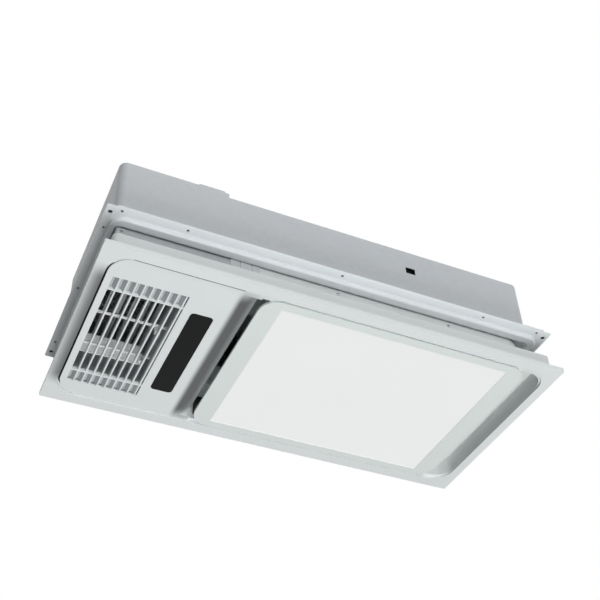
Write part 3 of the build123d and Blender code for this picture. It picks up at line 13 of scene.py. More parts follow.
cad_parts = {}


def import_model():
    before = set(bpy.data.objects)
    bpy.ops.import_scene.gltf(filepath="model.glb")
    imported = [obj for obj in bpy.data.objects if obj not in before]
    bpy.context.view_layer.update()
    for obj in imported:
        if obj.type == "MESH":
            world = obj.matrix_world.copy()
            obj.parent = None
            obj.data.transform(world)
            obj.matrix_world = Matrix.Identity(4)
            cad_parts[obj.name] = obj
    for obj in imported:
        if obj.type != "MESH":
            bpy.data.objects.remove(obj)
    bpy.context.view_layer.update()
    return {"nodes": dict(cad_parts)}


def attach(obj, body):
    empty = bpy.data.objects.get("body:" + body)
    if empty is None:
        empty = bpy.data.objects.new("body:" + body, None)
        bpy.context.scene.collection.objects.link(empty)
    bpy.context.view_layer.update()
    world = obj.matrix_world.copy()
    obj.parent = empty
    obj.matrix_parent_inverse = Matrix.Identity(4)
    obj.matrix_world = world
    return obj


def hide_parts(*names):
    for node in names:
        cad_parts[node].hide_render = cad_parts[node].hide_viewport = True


LOG = logging.getLogger("heater")
# Millimetres to metres.
MM = 0.001
# Steps in each rounded corner, and in each rounded edge.
CORNER_STEPS = 8
EDGE_STEPS = 3
# Two faces that meet at less than this angle are shaded as one.
SHARP = radians(30)
UP = (0.0, 0.0, 1.0)
WHITE = (1.0, 1.0, 1.0, 1.0)
Place = tuple[float, float, float]
Span = tuple[float, float]


def linear(code: str) -> tuple[float, float, float, float]:
    """Turns an sRGB hex colour into a linear one.

    Args:
        code: Six hex digits after a hash sign.

    Returns:
        Red, green, blue and an alpha of one.
    """
    parts = [int(code[i:i + 2], 16) / 255 for i in (1, 3, 5)]
    red, green, blue = (p / 12.92 if p <= 0.04045 else ((p + 0.055) / 1.055) ** 2.4 for p in parts)
    return (red, green, blue, 1.0)


def add_node(
    tree: bpy.types.NodeTree, kind: str, settings: dict[str, object],
    inputs: dict[str | int, object],
) -> bpy.types.Node:
    """Adds a node, sets it and links it.

    Args:
        tree: The tree that gets the node.
        kind: The node's Blender name.
        settings: Attributes of the node.
        inputs: Socket name or number to a value or another node's output.

    Returns:
        The new node.
    """
    node = tree.nodes.new(kind)
    for name, value in settings.items():
        setattr(node, name, value)
    for name, value in inputs.items():
        if isinstance(value, bpy.types.NodeSocket):
            tree.links.new(value, node.inputs[name])
        else:
            node.inputs[name].default_value = value
    return node


class Texture(Enum):
    """How a surface was made."""

    MOULDED = "moulded"
    PEEL = "peel"
    SPANGLE = "spangle"
    BRUSHED = "brushed"
    PORES = "pores"
    LAYERS = "layers"
    POLISHED = "polished"


@dataclass(frozen=True)
class PaintedShadeFilm:
    """Painted shade: a grey darkening on a strip of a surface, standing in for the shade there, in
    millimetres.

    Along X it starts, is full, thins and ends. Along Y it reaches this far to each side of the
    middle and fades there. Where it is full it leaves this share of the light.
    """

    start: float
    full: float
    thin: float
    end: float
    reach: float
    share: float
    fade: float = 30.0

    def over(
        self, tree: bpy.types.NodeTree, place: bpy.types.NodeSocket, colour: bpy.types.NodeSocket
    ) -> bpy.types.NodeSocket:
        """Lays the painted shade over a colour.

        Args:
            tree: The material's tree.
            place: Object coordinates.
            colour: The surface's colour without the painted shade.

        Returns:
            The colour with the painted shade on it.
        """
        axes = add_node(tree, "ShaderNodeSeparateXYZ", {}, {"Vector": place})
        along = axes.outputs["X"]
        across = add_node(
            tree, "ShaderNodeMath", {"operation": "ABSOLUTE"}, {0: axes.outputs["Y"]}
        ).outputs[0]
        shade_amount: float | bpy.types.NodeSocket = 1.0
        for value, unshaded, full in (
            (along, self.start, self.full), (along, self.end, self.thin),
            (across, self.reach, self.reach - self.fade),
        ):
            cover = add_node(
                tree, "ShaderNodeMapRange", {"interpolation_type": "SMOOTHSTEP"},
                {"Value": value, "From Min": unshaded * MM, "From Max": full * MM},
            ).outputs[0]
            shade_amount = add_node(
                tree, "ShaderNodeMath", {"operation": "MULTIPLY"}, {0: cover, 1: shade_amount}
            ).outputs[0]
        light = add_node(
            tree, "ShaderNodeMapRange", {}, {"Value": shade_amount, "To Min": 1.0, "To Max": self.share}
        ).outputs[0]
        return add_node(
            tree, "ShaderNodeVectorMath", {"operation": "SCALE"},
            {"Vector": colour, "Scale": light},
        ).outputs[0]


@dataclass(frozen=True)
class Finish:
    """A material and the way its surface was made.

    Grain is the size of the relief in millimetres, and relief its height. Mottle is how far the
    colour wanders, over patches of drift millimetres. Brushed marks are drawn this much longer
    than wide, and roughness varies by the spread.
    """

    brush_stretch: ClassVar[float] = 25.0
    # The wave texture runs through this many radians in each of its units.
    wave_radians: ClassVar[float] = 20.0
    spread: ClassVar[float] = 0.08
    coat_roughness: ClassVar[float] = 0.05

    title: str
    colour: str
    roughness: float
    texture: Texture
    metallic: float = 0.0
    grain: float = 0.5
    relief: float = 0.01
    mottle: float = 0.03
    drift: float = 60.0
    coat: float = 0.0
    ior: float = 1.5
    # Painted shade over the colour on one strip, standing in for the shade there, if any.
    painted_shade: PaintedShadeFilm | None = None

    def pattern(
        self, tree: bpy.types.NodeTree, place: bpy.types.NodeSocket
    ) -> bpy.types.NodeSocket:
        """Adds the relief pattern.

        Args:
            tree: The material's tree.
            place: Object coordinates.

        Returns:
            The pattern's height, from zero to one.
        """
        scale = 1 / (self.grain * MM)
        if self.texture is Texture.BRUSHED:
            drawn = add_node(
                tree, "ShaderNodeMapping", {},
                {"Vector": place, "Scale": (1 / self.brush_stretch, 1.0, 1.0)},
            ).outputs[0]
            return add_node(
                tree, "ShaderNodeTexNoise", {}, {"Vector": drawn, "Scale": scale, "Detail": 3.0}
            ).outputs["Fac"]
        if self.texture is Texture.LAYERS:
            return add_node(
                tree, "ShaderNodeTexWave", {"bands_direction": "Z"},
                {"Vector": place, "Scale": scale / self.wave_radians, "Distortion": 0.4,
                 "Detail": 1.0},
            ).outputs["Fac"]
        if self.texture in (Texture.PEEL, Texture.PORES):
            return add_node(
                tree, "ShaderNodeTexVoronoi", {"feature": "SMOOTH_F1"},
                {"Vector": place, "Scale": scale, "Smoothness": 1.0},
            ).outputs["Distance"]
        return add_node(
            tree, "ShaderNodeTexNoise", {}, {"Vector": place, "Scale": scale, "Detail": 2.0}
        ).outputs["Fac"]

    def tint(
        self, tree: bpy.types.NodeTree, place: bpy.types.NodeSocket
    ) -> bpy.types.NodeSocket:
        """Adds the wandering colour, with the painted shade over it.

        Args:
            tree: The material's tree.
            place: Object coordinates.

        Returns:
            The colour.
        """
        scale = 1 / (self.drift * MM)
        if self.texture is Texture.SPANGLE:
            cells = add_node(
                tree, "ShaderNodeTexVoronoi", {}, {"Vector": place, "Scale": scale}
            ).outputs["Color"]
            patches = add_node(tree, "ShaderNodeSeparateColor", {}, {"Color": cells}).outputs[0]
        else:
            patches = add_node(
                tree, "ShaderNodeTexNoise", {},
                {"Vector": place, "Scale": scale, "Detail": 3.0, "Roughness": 0.6},
            ).outputs["Fac"]
        base = linear(self.colour)[:3]
        low = (*(c * (1 - self.mottle) for c in base), 1.0)
        high = (*(min(c * (1 + self.mottle), 1.0) for c in base), 1.0)
        colour = add_node(
            tree, "ShaderNodeMix", {"data_type": "RGBA"}, {0: patches, 6: low, 7: high}
        ).outputs[2]
        return self.painted_shade.over(tree, place, colour) if self.painted_shade else colour

    def material(self) -> bpy.types.Material:
        """Makes the material: its colour, relief and gloss.

        Returns:
            The material.
        """
        made = bpy.data.materials.new(self.title)
        made.use_nodes = True
        tree = made.node_tree
        shader = tree.nodes["Principled BSDF"]
        place = add_node(tree, "ShaderNodeTexCoord", {}, {}).outputs["Object"]
        height = self.pattern(tree, place)
        bump = add_node(
            tree, "ShaderNodeBump", {},
            {"Height": height, "Strength": 1.0, "Distance": self.relief * MM},
        )
        gloss = add_node(
            tree, "ShaderNodeMapRange", {},
            {"Value": height, "To Min": self.roughness * (1 - self.spread),
             "To Max": min(self.roughness * (1 + self.spread), 1.0)},
        )
        tree.links.new(self.tint(tree, place), shader.inputs["Base Color"])
        tree.links.new(bump.outputs[0], shader.inputs["Normal"])
        tree.links.new(gloss.outputs[0], shader.inputs["Roughness"])
        shader.inputs["Metallic"].default_value = self.metallic
        if not self.metallic:
            shader.inputs["IOR"].default_value = self.ior
        if self.coat:
            shader.inputs["Coat Weight"].default_value = self.coat
            shader.inputs["Coat Roughness"].default_value = self.coat_roughness
        return made


@dataclass(frozen=True)
class LitOpal:
    """Opal acrylic lit from behind: a white glow, uneven by a small share in wide clouds.

    Body is the share of its colour that the sheet shows of the light that falls on it, and
    clouds is their number in a metre.
    """

    title: str = "lit opal acrylic"
    colour: str = "#F4F5F5"
    glow: float = 0.78
    unevenness: float = 0.015
    clouds: float = 6.0
    body: float = 0.12
    roughness: float = 0.35

    def material(self) -> bpy.types.Material:
        """Makes the glowing sheet's material.

        Returns:
            The material.
        """
        made = bpy.data.materials.new(self.title)
        made.use_nodes = True
        tree = made.node_tree
        shader = tree.nodes["Principled BSDF"]
        colour = linear(self.colour)
        place = add_node(tree, "ShaderNodeTexCoord", {}, {}).outputs["Object"]
        cloud = add_node(
            tree, "ShaderNodeTexNoise", {}, {"Vector": place, "Scale": self.clouds, "Detail": 1.0}
        )
        level = add_node(
            tree, "ShaderNodeMapRange", {},
            {"Value": cloud.outputs["Fac"], "To Min": self.glow * (1 - self.unevenness),
             "To Max": self.glow * (1 + self.unevenness)},
        )
        shader.inputs["Base Color"].default_value = (*(c * self.body for c in colour[:3]), 1.0)
        shader.inputs["Emission Color"].default_value = colour
        tree.links.new(level.outputs[0], shader.inputs["Emission Strength"])
        shader.inputs["Roughness"].default_value = self.roughness
        return made


class Finishes:
    """Every finish on the heater, made once."""

    # The grille plate's ABS, injection moulded: soft satin with a fine spark-eroded texture,
    # and painted shade: a grey darkening on the rolled edge beside the light, standing in for the
    # shade there.
    PLATE_ABS = Finish(
        "moulded plate abs", "#E6EBEC", 0.42, Texture.MOULDED, grain=0.35, relief=0.006,
        painted_shade=PaintedShadeFilm(start=-134.0, full=-124.7, thin=-119.0, end=-96.0, reach=140.0, share=0.15),
    )
    # The border's ABS: the same satin, with painted shade darkening its left edge beside the
    # groove.
    BORDER_ABS = Finish(
        "moulded border abs", "#E6EBEC", 0.42, Texture.MOULDED, grain=0.35, relief=0.006,
        painted_shade=PaintedShadeFilm(start=-308.0, full=-286.6, thin=-286.0, end=-285.5, reach=122.0, share=0.24),
    )
    # ABS of the inner ducts: the same resin, less polished and a little greyer.
    INNER_ABS = Finish(
        "moulded inner abs", "#E2E6E6", 0.5, Texture.MOULDED, grain=0.6, relief=0.012
    )
    # ABS of the light's frame: the same satin, a touch greener.
    LIGHT_ABS = Finish(
        "moulded light frame abs", "#E3EBE9", 0.42, Texture.MOULDED, grain=0.35, relief=0.006
    )
    # ABS of the guide vanes: whiter than the other ABS so that they show behind the slats, a
    # painted lightening that stands in for the light they lack in the shade there.
    VANE_ABS = Finish("moulded vane abs", "#FAFBFB", 0.45, Texture.MOULDED, relief=0.008)
    # Heat-stable polyester of the heater's frame: mid grey and dry.
    POLYESTER = Finish("moulded grey polyester", "#A6ABAE", 0.55, Texture.MOULDED, relief=0.02)
    # Painted shade in the blind ends of the plate's slots: grey ABS sheets, pale on the floors and
    # darker on the slopes, standing in for the shade there.
    SLOT_SHADE_PALE = Finish(
        "painted slot shade, pale", "#BEC2C4", 0.6, Texture.MOULDED, grain=0.35, relief=0.006
    )
    SLOT_SHADE_DARK = Finish(
        "painted slot shade, dark", "#A0A3A6", 0.6, Texture.MOULDED, grain=0.35, relief=0.006
    )
    # Pale grey ABS of the latches: a higher polish.
    LATCH_ABS = Finish(
        "polished grey abs", "#D3D7D9", 0.25, Texture.POLISHED, grain=1.0, relief=0.002
    )
    # Grey polypropylene of the air ducts and collar: waxy, with slow colour drift.
    GREY_PP = Finish(
        "moulded grey polypropylene", "#BFC4C7", 0.48, Texture.MOULDED, grain=0.8, relief=0.015
    )
    # Powder coat on stamped steel: slight orange peel.
    POWDER = Finish("white powder coat", "#E1E6E8", 0.4, Texture.PEEL, grain=1.4, relief=0.02)
    # Pre-coated galvanised sheet: cool grey, with a faint spangle under the coat.
    SHEET = Finish(
        "coated galvanised sheet", "#CCD1D5", 0.42, Texture.SPANGLE, grain=1.2, mottle=0.02,
        drift=7.0,
    )
    # Smoked acrylic window: near black with a hard clear gloss.
    SMOKED = Finish(
        "smoked acrylic", "#141516", 0.16, Texture.POLISHED, grain=2.0, relief=0.0005,
        mottle=0.04, ior=1.49,
    )
    # Closed-cell foam: matt black, with fine pores.
    FOAM = Finish(
        "closed cell foam", "#2B2C2E", 0.95, Texture.PORES, grain=0.7, relief=0.12, mottle=0.12,
        drift=3.0,
    )
    # Rolled aluminium: bright, with rolling lines.
    ALUMINIUM = Finish(
        "rolled aluminium", "#D2D4D6", 0.34, Texture.BRUSHED, metallic=1.0, grain=0.3,
        relief=0.006, drift=15.0,
    )
    # Zinc-plated steel: cool and slightly cloudy.
    ZINC = Finish(
        "zinc plate", "#BFC2C6", 0.32, Texture.BRUSHED, metallic=1.0, relief=0.005, drift=6.0
    )
    # Silicon steel laminations: thin layers, edge on.
    LAMINATIONS = Finish(
        "steel laminations", "#6E7073", 0.45, Texture.LAYERS, metallic=1.0, relief=0.08
    )
    # Enamelled copper wire, wound and varnished: warm and glossy, in fine turns.
    COPPER = Finish(
        "enamelled copper", "#A35A2E", 0.3, Texture.LAYERS, metallic=0.9, grain=0.6, relief=0.2,
        coat=0.4,
    )
    # Sintered bronze: warm and porous.
    BRONZE = Finish(
        "sintered bronze", "#9C7A4A", 0.5, Texture.PORES, metallic=1.0, grain=0.4, relief=0.02
    )
    # Brass blades: plain bright brass.
    BRASS = Finish(
        "bare brass", "#C9A85A", 0.28, Texture.BRUSHED, metallic=1.0, grain=0.3, relief=0.004
    )
    # Rubber mounts: black and matt.
    RUBBER = Finish("moulded rubber", "#1D1D1E", 0.8, Texture.MOULDED, grain=0.6, relief=0.03)
    # Circuit board: glossy green solder mask.
    BOARD = Finish(
        "green solder mask", "#1F6B3C", 0.25, Texture.MOULDED, grain=1.5, mottle=0.15, drift=4.0
    )
    # White solder mask of the diode strips: pale and half glossy.
    WHITE_BOARD = Finish("white solder mask", "#EDEDE8", 0.35, Texture.MOULDED, grain=1.5)
    # Polycarbonate lens: clear, taken as a pale glossy solid.
    LENS = Finish(
        "polycarbonate lens", "#DCE4EA", 0.1, Texture.POLISHED, grain=3.0, relief=0.001,
        coat=0.5, ior=1.58,
    )
    # Black ABS of small housings: plain satin.
    BLACK_ABS = Finish("moulded black abs", "#232426", 0.45, Texture.MOULDED, relief=0.012)

    def __init__(self) -> None:
        """Starts with nothing made."""
        self.made: dict[str, bpy.types.Material] = {}

    def get(self, finish: Finish | LitOpal) -> bpy.types.Material:
        """Returns the finish's material, making it the first time."""
        if finish.title not in self.made:
            self.made[finish.title] = finish.material()
        return self.made[finish.title]

    def coat(self, thing: bpy.types.Object, finish: Finish | LitOpal) -> None:
        """Puts one finish all over an object."""
        thing.data.materials.clear()
        thing.data.materials.append(self.get(finish))


def turned(profile: list[Span], steps: int = 32) -> bmesh.types.BMesh:
    """Turns a profile once about the Z axis.

    Args:
        profile: Radius and height of each point, in millimetres, from the axis outwards.
        steps: Number of steps round.

    Returns:
        The closed form.
    """
    shape = bmesh.new()
    points = [shape.verts.new((radius, 0.0, height)) for radius, height in profile]
    edges = [shape.edges.new(pair) for pair in zip(points, points[1:])]
    bmesh.ops.spin(
        shape, geom=points + edges, cent=(0.0, 0.0, 0.0), axis=UP, angle=2 * pi, steps=steps,
        use_merge=True,
    )
    bmesh.ops.remove_doubles(shape, verts=shape.verts, dist=0.001)
    bmesh.ops.recalc_face_normals(shape, faces=shape.faces)
    return shape


def round_edges(shape: bmesh.types.BMesh, radius: float, steps: int) -> None:
    """Rounds every edge of a shape.

    Args:
        shape: The mesh that is changed.
        radius: The edges' radius, in millimetres.
        steps: Faces across each rounded edge.
    """
    bmesh.ops.bevel(
        shape, geom=shape.edges, offset=radius, segments=steps, profile=0.5, affect="EDGES",
        material=-1,
    )


def brick(size: Place, edge: float) -> bmesh.types.BMesh:
    """Makes a block with rounded edges, centred on the origin.

    Args:
        size: Its length along each axis, in millimetres.
        edge: The radius of its edges.

    Returns:
        The block.
    """
    shape = bmesh.new()
    bmesh.ops.create_cube(shape, size=1.0)
    bmesh.ops.scale(shape, vec=size, verts=shape.verts)
    round_edges(shape, edge, EDGE_STEPS)
    return shape


def closed(shape: bmesh.types.BMesh, outline: list[Span], level: float) -> list[bmesh.types.BMEdge]:
    """Draws a closed outline at a height.

    Args:
        shape: The mesh that gets it.
        outline: X and Y of each point, in order.
        level: Its height.

    Returns:
        The edges, in order.
    """
    points = [shape.verts.new((x, y, level)) for x, y in outline]
    return [shape.edges.new(pair) for pair in zip(points, points[1:] + points[:1])]


def rounded(
    shape: bmesh.types.BMesh, x: Span, y: Span, corner: float, level: float
) -> list[bmesh.types.BMEdge]:
    """Draws a rounded rectangle.

    Args:
        shape: The mesh that gets it.
        x: Lowest and highest X.
        y: Lowest and highest Y.
        corner: Corner radius.
        level: Height.

    Returns:
        The edges, in order.
    """
    left, right, near, far = x[0] + corner, x[1] - corner, y[0] + corner, y[1] - corner
    outline = []
    for quarter, centre in enumerate(((right, far), (left, far), (left, near), (right, near))):
        for step in range(CORNER_STEPS + 1):
            angle = (quarter + step / CORNER_STEPS) * pi / 2
            outline.append((centre[0] + corner * cos(angle), centre[1] + corner * sin(angle)))
    return closed(shape, outline, level)


@dataclass(frozen=True)
class PanHead:
    """A pan-head screw with a cross recess, standing on its seat along +Z.

    Radius and height are in millimetres. Recess depth is a share of the height, and the
    cross's arm and slot are shares of the radius. Each ring has a share of both.
    """

    radius: float
    height: float
    recess_depth: float = 0.45
    arm: float = 0.5
    slot: float = 0.13
    sides: int = 24
    rings: tuple[Span, ...] = ((1.0, 0.0), (1.0, 0.35), (0.93, 0.68), (0.8, 0.9), (0.62, 1.0))

    def build(self) -> bmesh.types.BMesh:
        """Makes the head: skirt, crown, and the cross sunk into it.

        Returns:
            The head.
        """
        shape = bmesh.new()
        turns = [step * 2 * pi / self.sides for step in range(self.sides)]
        loops = []
        for share, level in self.rings:
            radius = self.radius * share
            outline = [(radius * cos(turn), radius * sin(turn)) for turn in turns]
            loops.append(closed(shape, outline, self.height * level))
        cross = closed(shape, self.cross(), self.height)
        for lower, upper in zip(loops, loops[1:] + [cross]):
            bmesh.ops.bridge_loops(shape, edges=lower + upper)
        sunk = closed(shape, self.cross(), self.height * (1 - self.recess_depth))
        bmesh.ops.bridge_loops(shape, edges=cross + sunk)
        bmesh.ops.holes_fill(shape, edges=sunk + loops[0])
        bmesh.ops.recalc_face_normals(shape, faces=shape.faces)
        return shape

    def cross(self) -> list[Span]:
        """Draws the cross: six points to each quarter, from its +X arm round.

        Returns:
            X and Y of each point.
        """
        arm, slot = self.arm * self.radius, self.slot * self.radius
        quarter = [(arm, 0.0), (arm, slot), ((arm + slot) / 2, slot), (slot, slot),
                   (slot, (arm + slot) / 2), (slot, arm)]
        outline = []
        for turn in range(4):
            cosine, sine = round(cos(turn * pi / 2)), round(sin(turn * pi / 2))
            outline += [(x * cosine - y * sine, x * sine + y * cosine) for x, y in quarter]
        return outline


class Moulding:
    """One visible piece, gathered from parts in millimetres."""

    def __init__(self, title: str) -> None:
        """Starts an empty piece with this name."""
        self.title = title
        self.shape = bmesh.new()

    def take(self, part: bmesh.types.BMesh, place: Place, axis: Place = UP) -> None:
        """Moves a part into place, with its +Z turned to an axis, and keeps it.

        Args:
            part: The part, in millimetres, which is used up.
            place: Where its origin goes, in millimetres.
            axis: Where its +Z points.
        """
        turn = Vector(UP).rotation_difference(Vector(axis)).to_matrix().to_4x4()
        move = Matrix.Scale(MM, 4) @ Matrix.Translation(place) @ turn
        bmesh.ops.transform(part, matrix=move, verts=part.verts)
        mesh = bpy.data.meshes.new("part")
        part.to_mesh(mesh)
        part.free()
        self.shape.from_mesh(mesh)
        bpy.data.meshes.remove(mesh)

    def finish(
        self, material: bpy.types.Material, body: str, slot: str, instead_of: str = ""
    ) -> bpy.types.Object:
        """Turns the gathered parts into an object that rides on a body.

        Args:
            material: Its finish.
            body: The body it rides on.
            slot: Not used.
            instead_of: The node that it replaces, if any.

        Returns:
            The object.
        """
        for face in self.shape.faces:
            face.smooth = True
        for edge in self.shape.edges:
            edge.smooth = len(edge.link_faces) == 2 and edge.calc_face_angle() < SHARP
        mesh = bpy.data.meshes.new(self.title)
        self.shape.to_mesh(mesh)
        self.shape.free()
        mesh.materials.append(material)
        thing = bpy.data.objects.new(self.title, mesh)
        bpy.context.scene.collection.objects.link(thing)
        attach(thing, body)
        if instead_of:
            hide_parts(instead_of)
        LOG.info("built %s", self.title)
        return thing


@dataclass
class Assembly:
    """A group of pieces that are dressed and detailed together, with its sizes in millimetres."""

    nodes: dict[str, bpy.types.Object]
    finishes: Finishes
    finishes_of: ClassVar[dict[str, Finish | LitOpal]] = {}

    def dress(self) -> None:
        """Gives each of the group's nodes its finish."""
        for name, finish in self.finishes_of.items():
            self.finishes.coat(self.nodes[name], finish)
            LOG.info("dressed %s in %s", name, finish.title)

    def build(self) -> None:
        """Adds nothing: a group without details of its own keeps the nodes alone."""


@dataclass
class FacePanel(Assembly):
    """The border, the grille plate and the display.

    A scoop is the blind end of a slot; a pale sheet of painted shade lies on its floor and a darker
    one on its slope.
    """

    seal_x: Span = (-286.4, -279.0)
    seal_y: Span = (-133.0, 131.0)
    seal_z: Span = (9.0, 19.0)
    seal_edge: float = 0.8
    # A thin dark strip of painted shade in the joint along the plate's near edge.
    shade_strip_x: Span = (-262.0, -128.0)
    shade_strip_y: Span = (-134.9, -133.3)
    shade_strip_z: Span = (1.05, 1.35)
    shade_strip_edge: float = 0.08
    scoops: int = 9
    scoop_right: float = -267.6
    scoop_pitch: float = 10.0
    scoop_radius: float = 3.8
    scoop_y: tuple[Span, Span] = ((-98.8, -78.2), (84.2, 104.8))
    scoop_z: float = 6.3
    shade_sheet: float = 0.2
    shade_sheet_edge: float = 0.05
    slope: float = 5.4
    slope_in: float = 2.1
    finishes_of: ClassVar[dict[str, Finish | LitOpal]] = {
        "panel_frame": Finishes.BORDER_ABS,
        "grille_plate": Finishes.PLATE_ABS,
        "display_window": Finishes.SMOKED,
        "display_board": Finishes.BOARD,
        "touch_keys": Finishes.ZINC,
        "digit_display": Finishes.BLACK_ABS,
        "panel_latches": Finishes.LATCH_ABS,
    }

    def build(self) -> None:
        """Adds the foam seal with its strip of painted shade, and the sheets of painted shade in
        the slots' blind ends.
        """
        self.seal_and_shade_strip()
        self.slot_shade_sheets()

    def seal_and_shade_strip(self) -> None:
        """Adds foam behind the plate's left edge, whose black also stands in for the shade in the
        left groove, and a thin dark strip along the near edge, painted shade for the joint there.
        """
        seal_and_shade_strip = Moulding("panel_seal_and_shade_strip")
        for spans, edge in (
            ((self.seal_x, self.seal_y, self.seal_z), self.seal_edge),
            ((self.shade_strip_x, self.shade_strip_y, self.shade_strip_z), self.shade_strip_edge),
        ):
            size = tuple(high - low for low, high in spans)
            seal_and_shade_strip.take(brick(size, edge), tuple((low + high) / 2 for low, high in spans))
        seal_and_shade_strip.finish(self.finishes.get(Finishes.FOAM), "unit", "foam")

    def slot_shade_sheets(self) -> None:
        """Puts painted shade in each scoop: a pale grey sheet on its floor at its left and a darker
        one on its slope at its right.
        """
        floors, slopes = Moulding("scoop_floor_shade"), Moulding("scoop_slope_shade")
        floor_z, slope_z = self.scoop_z - self.shade_sheet, self.scoop_z - self.slope_in
        for index in range(self.scoops):
            right = self.scoop_right + index * self.scoop_pitch
            bend = right - self.scoop_radius
            floor_x, slope_x = bend - self.scoop_radius / 2, right - self.slope_in
            for near, far in self.scoop_y:
                y, width = (near + far) / 2, far - near
                floor = brick((self.scoop_radius, width, self.shade_sheet), self.shade_sheet_edge)
                floors.take(floor, (floor_x, y, floor_z))
                slope = brick((self.slope, width, self.shade_sheet), self.shade_sheet_edge)
                slopes.take(slope, (slope_x, y, slope_z), (1.0, 0.0, 1.0))
        floors.finish(self.finishes.get(Finishes.SLOT_SHADE_PALE), "unit", "white_plastic")
        slopes.finish(self.finishes.get(Finishes.SLOT_SHADE_DARK), "unit", "white_plastic")


@dataclass
class Light(Assembly):
    """The flat light and its hangers."""

    finishes_of: ClassVar[dict[str, Finish | LitOpal]] = {
        "light_frame": Finishes.LIGHT_ABS,
        "light_diffuser": LitOpal(),
        "led_strips": Finishes.WHITE_BOARD,
        "led_lenses": Finishes.LENS,
        "light_back_plate": Finishes.SHEET,
        "light_hangers": Finishes.POWDER,
        "led_driver": Finishes.INNER_ABS,
    }


@dataclass
class AirWays(Assembly):
    """Duct, tray, gasket, guide vanes and heater."""

    finishes_of: ClassVar[dict[str, Finish | LitOpal]] = {
        "outlet_duct": Finishes.GREY_PP,
        "intake_tray": Finishes.INNER_ABS,
        "duct_gasket": Finishes.FOAM,
        "guide_vane_near": Finishes.VANE_ABS,
        "guide_vane_far": Finishes.VANE_ABS,
        "vane_link": Finishes.INNER_ABS,
        "vane_bushes": Finishes.INNER_ABS,
        "vane_motor": Finishes.ZINC,
        "heater_frame": Finishes.POLYESTER,
        "heater_bars": Finishes.ALUMINIUM,
        "heater_fins": Finishes.ALUMINIUM,
        "heater_terminals": Finishes.BRASS,
        "thermal_cutout": Finishes.ZINC,
    }


